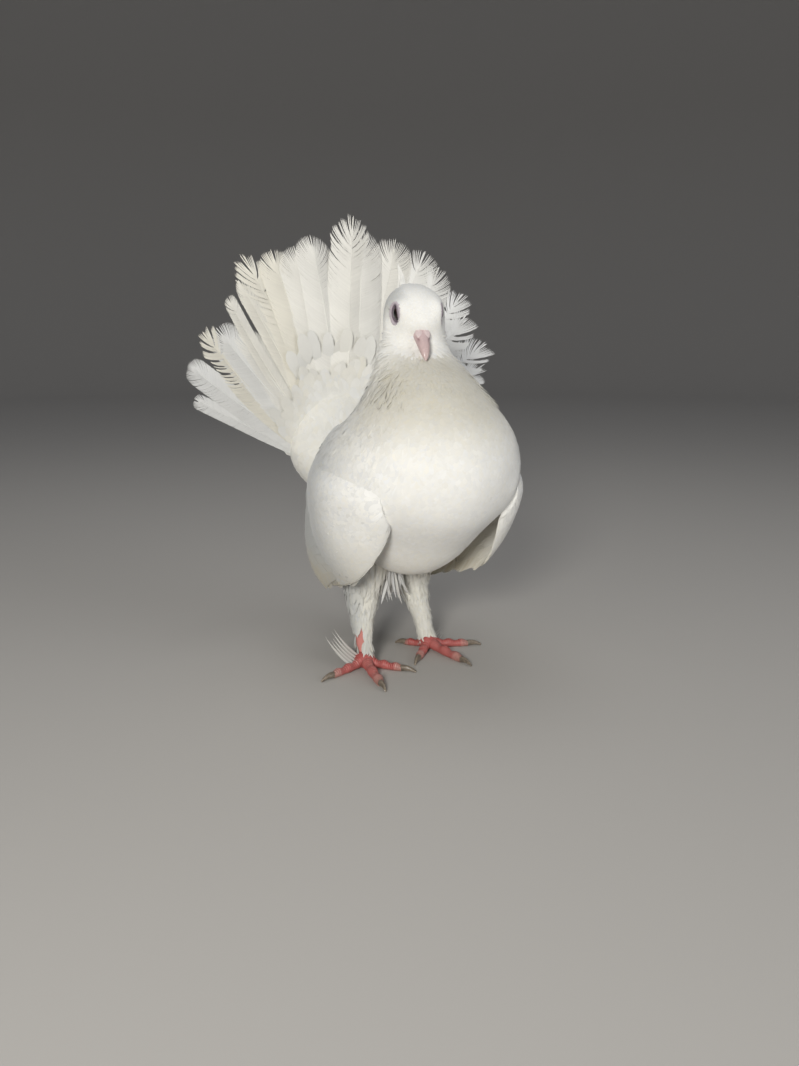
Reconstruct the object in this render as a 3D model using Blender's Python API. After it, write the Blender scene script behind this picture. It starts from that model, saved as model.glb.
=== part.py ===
"""A white fantail pigeon, life size, standing with its breast out and its tail raised in a fan.

The bird is modelled in its own frame: it faces -Y, its left side is at +X, the floor is z = 0, and the
middle between its feet is x = y = 0. At the end an empty carries every piece, so that the whole bird's
box is centred on the origin. Sizes are in metres.
"""

import math
import random

import bmesh
import bpy
import numpy as np
from mathutils import Matrix, Vector

MM = 0.001
GAP = 0.3 * MM  # kept between pieces that touch
AROUND = 26  # points round a ring of the body
DRAWS = random.Random(12)  # for the small differences between feathers

# Rings of the body from the rump to the crown, in millimetres: how far back and how high the ring's middle
# is, the lean of the body there (0 is level and 90 upright), and how far the ring reaches from its middle
# to the bird's back, to its front and to either side. Last, how much narrower it is in front, as a share.
BODY_RINGS = {
    "rump end": (72, 99, 8, 3, 3, 3, 0),
    "rump": (67, 99, 8, 17, 15, 18, 0),
    "loin": (53, 100, 12, 24, 25, 28, 0),
    "flank": (32, 102, 20, 29, 43, 36, 0),
    "belly": (6, 104, 33, 35, 58.5, 45, 0.03),
    "keel": (-15, 110, 46, 39, 52, 53.5, 0.06),
    "breast": (-29, 121, 60, 38, 52, 55, 0.05),
    "crop": (-36, 137, 75, 32, 47, 49, 0),
    "shoulder": (-34, 151, 86, 26, 37, 38, 0),
    "neck root": (-28, 164, 93, 20.5, 26, 28.5, 0),
    "neck": (-21.5, 176, 92, 17.5, 17, 21.5, 0),
    "throat": (-19.5, 186, 84, 18, 15, 17.3, 0.08),
    "cheek": (-20.5, 196, 74, 18, 17.2, 17, 0.14),
    "brow": (-22, 204.5, 66, 15.8, 15.2, 15.3, 0.14),
    "crown": (-23, 210, 62, 9.2, 9.7, 9.4, 0.15),
    "crown end": (-23.4, 211.8, 62, 2.5, 2.5, 2.5, 0),
}
NECK_CUT, HEAD_CUT = 8.6, 10.45  # where the body is parted, counted in rings from the rump end
NECK_STEP, HEAD_STEP = 12 * MM, 10 * MM  # between the rings at those two places
TWIST_LOW, TWIST_HIGH = 166 * MM, 188 * MM  # heights between which the neck turns the head

# The head's own frame
HEAD_CENTRE = Vector((0, -22 * MM, 198.5 * MM))
HEAD_TURN = math.radians(13.5)  # towards the bird's right
HEAD_PITCH = math.radians(42)  # the bill's dip
FACE_CUT = 16.2 * MM  # from the head's centre to the flat that the bill meets

EYE_PLACE = Vector((8.9 * MM, 3.0 * MM, 2.9 * MM))  # outwards, forwards and up from the head's centre
EYE_RADIUS = 4.5 * MM
LID_RING = (4.3 * MM, 0.8 * MM)  # the ring's radius and its bead's
LID_OUT = 2.5 * MM  # from the eye's middle to the ring
DISH = (6.3 * MM, 3.0 * MM)  # the hollow round the eye: its radius, and its half depth

CREST_BACK = 14.5 * MM  # from the head's centre
CREST_HALF_WIDTH = 2.8 * MM
CREST_LENGTH = 15.5 * MM
CREST_CURL = 14  # how far the tips curl forwards, as a share of the length squared, per metre

BILL_LENGTH = 16.5 * MM
BILL_WIDTH, BILL_DEPTH = 9.4 * MM, 4.4 * MM  # of the upper bill at its root
LOWER_BILL_LENGTH = 13.5 * MM
LOWER_BILL_DEPTH = 3.0 * MM
MOUTH_GAP = 0.45 * MM
BILL_HOOK = 1.9 * MM  # how far the tip comes down
CERE = (2.1 * MM, 3.0 * MM, 1.7 * MM)  # each bulb's half width, length and height

# The rump and the soft base of the tail, and a fan of feathers in front of which shorter ones lie in tiers
TAIL_BASE_RINGS = {
    "root": (45, 101, 6, 24, 24, 29),
    "saddle": (60, 103, 12, 22, 22, 31),
    "bend": (75, 109, 36, 21, 21, 35),
    "rise": (86, 121, 62, 18, 20, 34),
    "plume": (92, 137, 80, 13, 14, 28),
    "fade": (95, 153, 86, 8, 8, 20),
    "top": (97, 165, 88, 2.5, 2.5, 9),
}
RUMP_START, RUMP_END = 55 * MM, 68 * MM  # how far back the rump meets the body, and the tail the rump
FAN_ROOT = Vector((3 * MM, 87 * MM, 97.5 * MM))
FAN_LEAN = math.radians(1)  # backwards
FAN_TURN = math.radians(4.8)  # of its foremost feather, towards the bird's left
FAN_STEP = math.radians(6.06)  # from one feather to the next
FAN_CUP = 2.0  # how far the fan's sides come forward, as a share of their reach squared, per metre
# The fan's feathers to the right and to the left of the foremost one, as lengths in millimetres. The bird
# holds the right side wider. Widths go from the foremost feather to the sides.
FAN_RIGHT_LENGTHS = (106, 117, 119, 121, 119, 126, 138, 141, 140, 143, 149)
FAN_LEFT_LENGTHS = (154, 153, 153, 147, 140, 131, 124, 114)
FAN_FOREMOST_LENGTH = 159
FAN_WIDTHS = (30, 30, 29, 25, 11)
FAN_START = 9 * MM
FAN_SHINGLE = math.tan(math.radians(9))  # each feather's outer edge lies in front of its neighbour
# Tiers of short feathers over the fan's root, two in front and one behind: how many, the half spread in
# degrees, length, lift in front of the fan, and width, in millimetres
COVERT_TIERS = ((9, 52, 56, 4.2, 23), (7, 48, 36, 7.4, 22), (7, 50, 50, -4.4, 23))
COVERT_START = 12 * MM

# The folded right wing from its front edge to its tip: the upper edge, the middle and the lower edge, each
# as how far out from the bird's middle it lies, how far back and how high, in millimetres.
WING_STATIONS = {
    "front": ((40, -50, 128), (36, -63, 107), (33, -57, 92)),
    "wrist": ((40, -30, 140), (49, -47, 103), (35, -47, 74)),
    "shoulder": ((36, -8, 139), (56, -26, 99), (38, -31, 58)),
    "arm": ((32, 12, 131), (54.5, 0, 92), (39, -12, 50)),
    "hand": ((30, 30, 118), (47.5, 22, 80), (36, 10, 43)),
    "quills": ((29, 48, 98), (38, 42, 63), (29, 32, 37)),
    "tip": ((20, 75, 52), (19, 75, 46), (17, 70, 40)),
}
SHELL_END = 0.70  # how far along the wing its thick inner sheet goes
SHELL_DEPTH = 9.5 * MM
# Tiers of wing feathers, outermost last: number, the root and tip of the lowest feather and of the
# highest as shares along the wing and across it (-1 is the lower edge), width, and lift off the surface.
WING_TIERS = {
    "primaries": (8, (0.36, -0.80), (0.97, -0.75), (0.45, 0.15), (0.88, 0.60), 14 * MM, -2.0 * MM),
    "secondaries": (8, (0.26, -0.62), (0.70, -0.84), (0.30, 0.66), (0.80, 0.88), 15 * MM, -0.5 * MM),
    "great_coverts": (7, (0.14, -0.62), (0.50, -0.86), (0.16, 0.58), (0.52, 0.82), 16 * MM, 1.0 * MM),
    "lesser_coverts": (6, (0.06, -0.55), (0.30, -0.84), (0.05, 0.45), (0.30, 0.74), 16 * MM, 2.1 * MM),
}

# Legs and feet: where each foot stands and how far it points outwards, and its toes as the angle outwards
# from the middle toe, the length without the claw, and the radius.
FEET = {
    "right": (Vector((-28 * MM, -13 * MM, 0)), math.radians(8.5)),
    "left": (Vector((20 * MM, -2 * MM, 0)), math.radians(9.5)),
}
TOES = {
    "middle": (0, 32 * MM, 2.75 * MM),
    "outer": (61, 25 * MM, 2.5 * MM),
    "inner": (-52, 23 * MM, 2.5 * MM),
    "hind": (-149, 15 * MM, 2.3 * MM),
}
TOE_TAPER, TOE_SWELL = 0.22, 0.12  # how much a toe narrows to its claw, and how much its joints swell
TOE_PRESS = 0.88  # the height of a toe's middle over the floor, as a share of its radius there
TOE_RISE = 1.4 * MM  # how much higher it is at its root
PAD_RADIUS = 6.0 * MM
PAD_MIDDLE, PAD_HALF_HEIGHT = 4.4 * MM, 5.2 * MM
CLAW_LENGTH = 9.4 * MM
CLAW_RADIUS = 1.75 * MM
MUFFS = {"right": (3, 17 * MM), "left": (2, 8 * MM)}  # stray foot feathers: number and length
# The leg from the foot up: how far outwards, how far back, how high, and its radius, in millimetres
LEG_STATIONS = {
    "ankle": (0, 0.5, 5.0, 4.8),
    "shank": (-0.8, 3.5, 13, 5.2),
    "tuft": (-1.7, 6.5, 21, 6.2),
    "mid": (-3.3, 10, 30, 7.5),
    "hock": (-4.6, 12.5, 41, 9.5),
    "drumstick": (-4.8, 10, 53, 12.3),
    "thigh": (-4, 6, 67, 13.3),
}


def smooth_through(knots, values, at):
    """Natural cubic spline: the curve through values at knots that bends least, read at the places given."""
    knots, values = np.asarray(knots, float), np.asarray(values, float)
    count = len(knots)
    step = np.diff(knots)
    system = np.eye(count)
    right = np.zeros_like(values)
    for i in range(1, count - 1):
        system[i, i - 1 : i + 2] = step[i - 1], 2 * (step[i - 1] + step[i]), step[i]
        right[i] = 6 * (
            (values[i + 1] - values[i]) / step[i] - (values[i] - values[i - 1]) / step[i - 1]
        )
    bend = np.linalg.solve(system, right)
    at = np.atleast_1d(np.asarray(at, float))
    i = np.clip(np.searchsorted(knots, at) - 1, 0, count - 2)
    after, before = at - knots[i], knots[i + 1] - at
    width = step[i]
    if values.ndim > 1:
        after, before, width = after[:, None], before[:, None], width[:, None]
    return (
        bend[i] * before**3 / (6 * width)
        + bend[i + 1] * after**3 / (6 * width)
        + (values[i] / width - bend[i] * width / 6) * before
        + (values[i + 1] / width - bend[i + 1] * width / 6) * after
    )


def stations(table, at):
    """The rows of a table of named stations, read smoothly at the places given, which count rows from 0."""
    rows = np.array(list(table.values()), float)
    return smooth_through(np.arange(len(rows)), rows, at)


def ring_points(row, around, grow=0.0):
    """One ring of a body: a closed curve across the axis, with its own reach to back, front and sides."""
    back, height, lean, to_back, to_front, to_side, pinch = row
    angle = math.radians(lean)
    turn = np.linspace(0, 2 * math.pi, around, endpoint=False)
    in_front = np.clip(-np.cos(turn), 0, 1)
    across = (to_side * MM * (1 - pinch * in_front) + grow) * np.sin(turn)
    reach = np.where(np.cos(turn) > 0, to_back, to_front) * MM + grow
    dorsal = reach * np.cos(turn)
    return np.column_stack(
        (
            across,
            back * MM + dorsal * math.sin(angle),
            height * MM + dorsal * math.cos(angle),
        )
    )


def head_share(height):
    """0 at the neck's root and 1 at the head: how much of the head's turn a point at this height takes."""
    share = np.clip((height - TWIST_LOW) / (TWIST_HIGH - TWIST_LOW), 0, 1)
    return share * share * (3 - 2 * share)


def turn_head(points):
    """The neck's twist: points near the head turn about the upright through its centre."""
    points = np.array(points, float)
    angle = -HEAD_TURN * head_share(points[:, 2])
    x, y = points[:, 0].copy(), points[:, 1] - HEAD_CENTRE.y
    points[:, 0] = x * np.cos(angle) - y * np.sin(angle)
    points[:, 1] = x * np.sin(angle) + y * np.cos(angle) + HEAD_CENTRE.y
    return points


def head_place(right_or_left, forwards, up):
    """A point or direction of the head's frame, from the bird's left, forwards along the bill, and up."""
    dip = Matrix.Rotation(HEAD_PITCH, 3, "X")
    turn = Matrix.Rotation(-HEAD_TURN, 3, "Z")
    return turn @ dip @ Vector((right_or_left, -forwards, up))


def mesh_object(name, points, faces):
    mesh = bpy.data.meshes.new(name)
    mesh.from_pydata([tuple(p) for p in points], [], faces)
    mesh.update()
    made = bpy.data.objects.new(name, mesh)
    bpy.context.scene.collection.objects.link(made)
    return made


def loft(name, rings):
    """A closed skin through rings of equal length, with a flat cap at both ends, all of it in triangles."""
    rings = [np.asarray(r, float) for r in rings]
    around = len(rings[0])
    points = np.vstack(rings)
    faces = []
    for r in range(len(rings) - 1):
        for i in range(around):
            a, b = r * around + i, r * around + (i + 1) % around
            c, d = b + around, a + around
            faces += [(a, b, c), (a, c, d)]
    last = (len(rings) - 1) * around
    faces.append(tuple(range(around - 1, -1, -1)))
    faces.append(tuple(last + i for i in range(around)))
    made = mesh_object(name, points, faces)
    face_outwards(made)
    return made


def face_outwards(made):
    bm = bmesh.new()
    bm.from_mesh(made.data)
    bmesh.ops.triangulate(bm, faces=bm.faces[:])
    bmesh.ops.recalc_face_normals(bm, faces=bm.faces[:])
    if bm.calc_volume(signed=True) < 0:
        bmesh.ops.reverse_faces(bm, faces=bm.faces[:])
    bm.to_mesh(made.data)
    bm.free()


def tube(name, middles, radii, around, side):
    """A tube along a line of points, with a radius at each. The line never takes the direction of side."""
    middles = [Vector(m) for m in middles]
    rings = []
    for i, middle in enumerate(middles):
        ahead = middles[min(i + 1, len(middles) - 1)] - middles[max(i - 1, 0)]
        ahead.normalize()
        across = Vector(side) - Vector(side).dot(ahead) * ahead
        across.normalize()
        up = across.cross(ahead)
        rings.append(
            [
                middle + float(radii[i]) * (math.cos(t) * across + math.sin(t) * up)
                for t in np.linspace(0, 2 * math.pi, around, endpoint=False)
            ]
        )
    return loft(name, rings)


def ball(name, middle, radii, turn=None, rings=8, around=12):
    """An ellipsoid of the given half widths, turned by a matrix."""
    bm = bmesh.new()
    bmesh.ops.create_uvsphere(bm, u_segments=around, v_segments=rings, radius=1)
    for v in bm.verts:
        place = Vector((v.co.x * radii[0], v.co.y * radii[1], v.co.z * radii[2]))
        v.co = Vector(middle) + (turn @ place if turn else place)
    bmesh.ops.triangulate(bm, faces=bm.faces[:])
    mesh = bpy.data.meshes.new(name)
    bm.to_mesh(mesh)
    bm.free()
    made = bpy.data.objects.new(name, mesh)
    bpy.context.scene.collection.objects.link(made)
    return made


def blade_outline(share, root_share=0.22, widest=0.66, tip_share=0.30):
    """A feather's width along it, as a share of its greatest: narrow at the root and round at the tip."""
    share = np.asarray(share, float)
    rise = root_share + (1 - root_share) * np.sin(np.clip(share / widest, 0, 1) * math.pi / 2) ** 1.3
    fall = np.clip((share - widest) / (1 - widest), 0, 1)
    return rise * (1 - (1 - tip_share) * fall**2.8)


def vane(name, place, length, width, thickness, rows=6, lean=0.0, camber=0.0, outline=blade_outline):
    """One feather as a thin closed blade. place(along, across, off) gives a point of the surface it lies on.

    A cambered blade has a middle column. The rows crowd towards the tip, which makes it round. Both faces
    are split alike, so that they never cross.
    """
    shares = 1 - (1 - np.linspace(0, 1, rows)) ** 1.5
    half = 0.5 * width * outline(shares)
    columns = (-1, 0, 1) if camber else (-1, 1)
    points = []
    for side in (1, -1):
        for share, reach in zip(shares, half):
            thin = thickness * (1.0 - 0.35 * share)
            for column in columns:
                off = lean * column * reach + camber * (1 - abs(column)) + side * thin / 2
                points.append(place(share * length, column * reach, off))
    count = len(columns)
    sheet = count * rows
    faces = []
    for r in range(rows - 1):
        for c in range(count - 1):
            a = count * r + c
            b, d, e = a + 1, a + count, a + count + 1
            faces += [(a, b, e), (a, e, d)]
            faces += [(a + sheet, e + sheet, b + sheet), (a + sheet, d + sheet, e + sheet)]
    left = [count * r for r in range(rows)]
    right = [count * r + count - 1 for r in range(rows - 1, -1, -1)]
    tip = list(range(left[-1] + 1, right[0]))
    root = list(range(right[-1] - 1, left[0], -1))
    rim = left + tip + right + root
    for i, a in enumerate(rim):
        b = rim[(i + 1) % len(rim)]
        faces += [(a, b, b + sheet), (a, b + sheet, a + sheet)]
    made = mesh_object(name, points, faces)
    face_outwards(made)
    return made


def fuse(name, first, others, solver="MANIFOLD"):
    """Joins closed pieces into one by a Boolean union with their collection, and removes them."""
    pieces = bpy.data.collections.new(name + " pieces")
    for piece in others:
        for home in list(piece.users_collection):
            home.objects.unlink(piece)
        pieces.objects.link(piece)
    bpy.context.scene.collection.children.link(pieces)
    union = first.modifiers.new("union", "BOOLEAN")
    union.operation = "UNION"
    union.operand_type = "COLLECTION"
    union.collection = pieces
    union.solver = solver
    apply_modifiers(first)
    for piece in others:
        bpy.data.objects.remove(piece)
    bpy.data.collections.remove(pieces)
    first.name = name
    first.data.name = name
    return first


def cut_away(first, cutter, keep=False, solver="MANIFOLD"):
    """Takes the cutter's shape out of a piece."""
    cut = first.modifiers.new("cut", "BOOLEAN")
    cut.operation = "DIFFERENCE"
    cut.object = cutter
    cut.solver = solver
    apply_modifiers(first)
    if not keep:
        bpy.data.objects.remove(cutter)
    return first


def apply_modifiers(made):
    graph = bpy.context.evaluated_depsgraph_get()
    graph.update()
    mesh = bpy.data.meshes.new_from_object(made.evaluated_get(graph))
    made.modifiers.clear()
    old, made.data = made.data, mesh
    bpy.data.meshes.remove(old)


def part_at(made, point, normal):
    """Keeps what lies behind a plane, and closes the cut with a flat face."""
    bm = bmesh.new()
    bm.from_mesh(made.data)
    cut = bmesh.ops.bisect_plane(
        bm,
        geom=bm.verts[:] + bm.edges[:] + bm.faces[:],
        dist=1e-7,
        plane_co=Vector(point),
        plane_no=Vector(normal),
        clear_outer=True,
    )
    rim = [e for e in cut["geom_cut"] if isinstance(e, bmesh.types.BMEdge)]
    bmesh.ops.holes_fill(bm, edges=rim, sides=0)
    bmesh.ops.triangulate(bm, faces=[f for f in bm.faces if len(f.verts) > 3])
    bmesh.ops.recalc_face_normals(bm, faces=bm.faces[:])
    bm.to_mesh(made.data)
    bm.free()
    return made


def largest_part(made):
    """Keeps only the largest closed surface of a piece, which drops scraps and sealed hollows."""
    bm = bmesh.new()
    bm.from_mesh(made.data)
    bmesh.ops.triangulate(bm, faces=[f for f in bm.faces if len(f.verts) > 3])
    left = set(bm.faces)
    groups = []
    while left:
        start = left.pop()
        group, todo = {start}, [start]
        while todo:
            face = todo.pop()
            for edge in face.edges:
                for near in edge.link_faces:
                    if near in left:
                        left.remove(near)
                        group.add(near)
                        todo.append(near)
        groups.append(group)
    groups.sort(key=lambda g: -sum(f.calc_area() for f in g))
    loose = [f for group in groups[1:] for f in group]
    bmesh.ops.delete(bm, geom=loose, context="FACES")
    bm.to_mesh(made.data)
    bm.free()
    return made


def body_skin(name, first, last, rings, around=AROUND, grow=0.0):
    """The body between two places along it, with flat ends, grown where another piece is cut clear of it."""
    rows = stations(BODY_RINGS, np.linspace(first, last, rings))
    return loft(name, [turn_head(ring_points(row, around, grow)) for row in rows])


def build_torso():
    torso = body_skin("torso", 0, NECK_CUT, 15)
    part_at(torso, (0, RUMP_START, 0), (0, 1, 0))
    return torso


def build_neck():
    return body_skin("neck", NECK_CUT + GAP / NECK_STEP, HEAD_CUT, 6)


def crest_feathers():
    """The peak at the back of the crown: small pointed blades that rise together and meet in a point."""
    made = []
    count = 5
    for i in range(count):
        side = (i - (count - 1) / 2) / ((count - 1) / 2)
        root = HEAD_CENTRE + head_place(CREST_HALF_WIDTH * side, -CREST_BACK, 0)
        root.z -= (1.5 + differ(0.2)) * MM
        away = Vector((-0.16 * side, 0.10 - 0.06 * abs(side), 1.0)).normalized()
        side_way = head_place(1, 0, 0)
        off_way = away.cross(side_way)

        def place(along, across, off, root=root, away=away, side_way=side_way, off_way=off_way):
            curl = CREST_CURL * along**2
            return root + away * along + side_way * across + off_way * (off + curl)

        made.append(
            vane(
                "crest",
                place,
                CREST_LENGTH * (1 - 0.18 * abs(side)),
                5.0 * MM,
                0.8 * MM,
                rows=5,
                lean=0.25 * side,
                outline=lambda s: 1.0 - 0.75 * np.asarray(s) ** 1.8,
            )
        )
    return made


def eye_centre(sign, extra=0.0):
    return HEAD_CENTRE + head_place(sign * (EYE_PLACE.x + extra), EYE_PLACE.y, EYE_PLACE.z)


def eye_way(sign):
    """Where an eye looks: outwards, and a very little forwards and up."""
    return head_place(sign * 1.0, 0.02, 0.06).normalized()


def lid_ring(sign):
    ring, bead = LID_RING
    bpy.ops.mesh.primitive_torus_add(
        major_radius=ring, minor_radius=bead, major_segments=14, minor_segments=6
    )
    made = bpy.context.object
    way = eye_way(sign)
    middle = eye_centre(sign) + way * LID_OUT
    made.data.transform(Matrix.Translation(middle) @ way.to_track_quat("Z", "Y").to_matrix().to_4x4())
    return made


def eye_dish(sign):
    """The shallow hollow in the side of the head from which the eye looks out."""
    reach, depth = DISH
    way = eye_way(sign)
    frame = way.to_track_quat("Z", "Y").to_matrix()
    middle = eye_centre(sign) + way * (LID_OUT - 0.5 * MM + depth)
    return ball("dish", middle, (reach, reach, depth), turn=frame, rings=8, around=14)


def build_head():
    head = body_skin("head", HEAD_CUT + GAP / HEAD_STEP, len(BODY_RINGS) - 1, 10)
    for sign in (1, -1):
        cut_away(head, eye_dish(sign))
    head = fuse("head", head, [*crest_feathers(), lid_ring(1), lid_ring(-1)])
    forward = head_place(0, 1, 0)
    part_at(head, HEAD_CENTRE + forward * FACE_CUT, forward)
    for sign in (1, -1):
        socket = ball("socket", eye_centre(sign), (EYE_RADIUS + GAP,) * 3, rings=8, around=14)
        cut_away(head, socket)
    return largest_part(head)


def build_eye(name, sign):
    return ball(name, eye_centre(sign), (EYE_RADIUS,) * 3, rings=8, around=14)


def bill_rings(length, root_width, root_top, root_bottom, count=6, around=12):
    """Rings along the bill, which narrows to its tip: flat where the two halves meet, and arched outside."""
    rings = []
    for share in np.linspace(0, 1, count):
        narrow = (1 - share) ** 0.65 * 0.81 + 0.19
        along = share * length
        droop = -BILL_HOOK * (along / BILL_LENGTH) ** 3
        ring = []
        for t in np.linspace(0, 2 * math.pi, around, endpoint=False):
            high = root_top if math.sin(t) > 0 else root_bottom
            mouth = math.copysign(MOUTH_GAP / 2, root_top + root_bottom)
            up = droop + mouth + (high * narrow - mouth) * abs(math.sin(t)) * (high != 0)
            ring.append((0.5 * root_width * narrow * math.cos(t), along, up))
        rings.append(ring)
    return rings


def bill_piece(name, rings):
    start = FACE_CUT + GAP
    placed = [
        [HEAD_CENTRE + head_place(x, start + along, up - 1.0 * MM) for x, along, up in ring]
        for ring in rings
    ]
    return loft(name, placed)


def build_bill_upper():
    rings = bill_rings(BILL_LENGTH, BILL_WIDTH, BILL_DEPTH, 0)
    bill = bill_piece("bill_upper", rings)
    frame = Matrix([head_place(1, 0, 0), -head_place(0, 1, 0), head_place(0, 0, 1)]).transposed()
    wide, long, high = CERE
    start = FACE_CUT + GAP
    bulbs, nostrils = [], []
    for sign in (1, -1):
        middle = HEAD_CENTRE + head_place(sign * 1.75 * MM, start + 3.1 * MM, 2.3 * MM)
        bulbs.append(ball("cere", middle, (wide, long, high), turn=frame, rings=6, around=10))
        slit = HEAD_CENTRE + head_place(sign * 3.5 * MM, start + 5.2 * MM, 1.0 * MM)
        nostrils.append(
            ball("nostril", slit, (0.9 * MM, 1.5 * MM, 0.45 * MM), turn=frame, rings=4, around=6)
        )
    bill = fuse("bill_upper", bill, bulbs)
    for slit in nostrils:
        cut_away(bill, slit)
    return largest_part(bill)


def build_bill_lower():
    rings = bill_rings(LOWER_BILL_LENGTH, 0.86 * BILL_WIDTH, 0, -LOWER_BILL_DEPTH)
    return bill_piece("bill_lower", rings)


def fan_place(angle, shingle_side):
    """The surface that one tail feather lies on: a fan that leans back and whose sides come forward."""
    up = Vector((0, math.sin(FAN_LEAN), math.cos(FAN_LEAN)))
    forwards = Vector((0, -math.cos(FAN_LEAN), math.sin(FAN_LEAN)))
    sideways = Vector((1, 0, 0))

    def place(along, across, off):
        reach = FAN_START + along
        out = reach * math.sin(angle) + across * math.cos(angle)
        high = reach * math.cos(angle) - across * math.sin(angle)
        cup = FAN_CUP * out * out - 0.9 * along * along * math.cos(angle) ** 2
        shingle = FAN_SHINGLE * across * shingle_side
        return FAN_ROOT + sideways * out + up * high + forwards * (cup + shingle + off)

    return place


def differ(amount):
    """A small random difference, of up to the amount either way."""
    return DRAWS.uniform(-amount, amount)


def fan_vanes():
    """The tail's long feathers. Each covers the inner edge of its outer neighbour."""
    made = []
    foremost = len(FAN_RIGHT_LENGTHS)
    lengths = (*FAN_RIGHT_LENGTHS, FAN_FOREMOST_LENGTH, *FAN_LEFT_LENGTHS)
    for i, length in enumerate(lengths, start=-foremost):
        angle = FAN_TURN + FAN_STEP * i + math.radians(differ(0.4))
        width = np.interp(abs(i), np.linspace(0, foremost, len(FAN_WIDTHS)), FAN_WIDTHS) * MM
        place = fan_place(angle, (i > 0) - (i < 0))
        lift = (1.4 * MM if i == 0 else 0.0) + differ(0.06 * MM)

        def lifted(along, across, off, place=place, lift=lift):
            return place(along, across, off + lift)

        made.append(vane("fan", lifted, length * MM, width, 0.75 * MM, rows=6, camber=0.4 * MM))
    return made


def tail_coverts():
    """The short feathers over the fan's root, which overlap like the fan's own."""
    made = []
    for count, spread, length, lift, width in COVERT_TIERS:
        for i in range(count):
            share = 2 * i / (count - 1) - 1
            angle = math.radians(spread * share + differ(1.2))
            side = math.copysign(0.9, share * lift) + differ(0.08)
            place = fan_place(angle, side)
            start = COVERT_START + differ(0.8 * MM)
            high = (lift + differ(0.12)) * MM

            def lifted(along, across, off, place=place, start=start, high=high):
                return place(along + start, across, off + high)

            long = length * MM * (1 - 0.12 * share**2 + differ(0.03))
            made.append(vane("covert", lifted, long, width * MM, 0.8 * MM, rows=4))
    return made


def tail_base(grow=0.0, rings=11):
    rows = stations(TAIL_BASE_RINGS, np.linspace(0, len(TAIL_BASE_RINGS) - 1, rings))
    placed = []
    for row in rows:
        # This line runs backwards and up, so its back is the side that faces the bird's head
        back, height, lean, to_front, to_rear, to_side = row
        angle = math.radians(lean)
        turn = np.linspace(0, 2 * math.pi, 20, endpoint=False)
        reach = np.where(np.cos(turn) > 0, to_front, to_rear) * MM + grow
        dorsal = reach * np.cos(turn)
        placed.append(
            np.column_stack(
                (
                    (to_side * MM + grow) * np.sin(turn),
                    back * MM - dorsal * math.sin(angle),
                    height * MM + dorsal * math.cos(angle),
                )
            )
        )
    return loft("tail base", placed)


def build_rump():
    rump = part_at(tail_base(), (0, RUMP_START + GAP, 0), (0, -1, 0))
    rump.name = "rump"
    return part_at(rump, (0, RUMP_END, 0), (0, 1, 0))


def build_tail():
    tail = part_at(tail_base(), (0, RUMP_END + GAP, 0), (0, -1, 0))
    tail = fuse("tail", tail, fan_vanes() + tail_coverts())
    return largest_part(tail)


def wing_surface(side):
    """place(along, across, off) on the folded wing, a sheet from front edge to tip, and its half width."""
    rows = np.array(list(WING_STATIONS.values()), float) * MM
    rows[:, :, 0] *= side
    knots = np.linspace(0, 1, len(rows))

    def edges(share):
        share = np.clip(share, -0.02, 1.02)
        return smooth_through(knots, rows.reshape(len(rows), 9), share)[0].reshape(3, 3)

    def flat(share, across):
        upper, middle, lower = edges(share)
        slope, bend = (upper - lower) / 2, (upper + lower) / 2 - middle
        return Vector(middle + slope * across + bend * across * across)

    def place(share, across, off):
        small = 0.01
        along_way = flat(share + small, across) - flat(share - small, across)
        across_way = flat(share, across + small) - flat(share, across - small)
        outwards = across_way.cross(along_way).normalized()
        if outwards.x * side < 0:
            outwards.negate()
        return flat(share, across) + outwards * off

    def half_width(share):
        upper, _, lower = edges(share)
        return float(np.linalg.norm(upper - lower)) / 2

    return place, half_width


def wing_shell(side):
    """The wing's body: a sheet over the shoulder and arm, thin at its edges, that the feathers grow from."""
    place, _ = wing_surface(side)
    columns, around = 9, 14
    rings = []
    for share in np.linspace(0.0, SHELL_END, columns):
        thick = 0.8 * MM + SHELL_DEPTH * math.sin(math.pi * (share / SHELL_END) ** 0.7) ** 0.7
        ring = []
        for t in np.linspace(0, 2 * math.pi, around, endpoint=False):
            across = 0.97 * math.cos(t)
            off = thick * min(math.sin(t), 0) - 0.4 * MM * (1 - math.sin(t))
            ring.append(place(share, across, off))
        rings.append(ring)
    return loft("shell", rings)


def wing_vanes(side):
    made = []
    surface, half_width = wing_surface(side)
    for count, low_root, low_tip, high_root, high_tip, width, lift in WING_TIERS.values():
        for i in range(count):
            share = i / (count - 1)
            root = np.array(low_root) * (1 - share) + np.array(high_root) * share
            tip = np.array(low_tip) * (1 - share) + np.array(high_tip) * share
            tip[0] += differ(0.008)
            root[0] += differ(0.008)
            length = (surface(*tip, 0) - surface(*root, 0)).length
            rise = lift + differ(0.1 * MM)

            def place(along, across, off, root=root, tip=tip, length=length, rise=rise):
                done = along / length
                at = root + (tip - root) * done
                return surface(at[0], at[1] + across / half_width(at[0]), off + rise - 1.6 * MM * done)

            lean = -0.18 + differ(0.02)
            made.append(vane("feather", place, length, width, 0.7 * MM, rows=5, lean=lean))
    return made


def build_wing(name, side, torso_clear, tail_clear):
    wing = fuse(name, wing_shell(side), wing_vanes(side))
    for clear in (torso_clear, tail_clear):
        cut_away(wing, clear, keep=True)
    return largest_part(wing)


def foot_turn(foot):
    """The foot's forward direction and its outward one."""
    side = 1 if foot == "left" else -1
    turn = FEET[foot][1]
    forwards = Vector((side * math.sin(turn), -math.cos(turn), 0))
    outwards = Vector((side * math.cos(turn), math.sin(turn), 0))
    return forwards, outwards


def toe_way(foot, toe):
    forwards, outwards = foot_turn(foot)
    angle = math.radians(TOES[toe][0])
    return (forwards * math.cos(angle) + outwards * math.sin(angle)).normalized()


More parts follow.
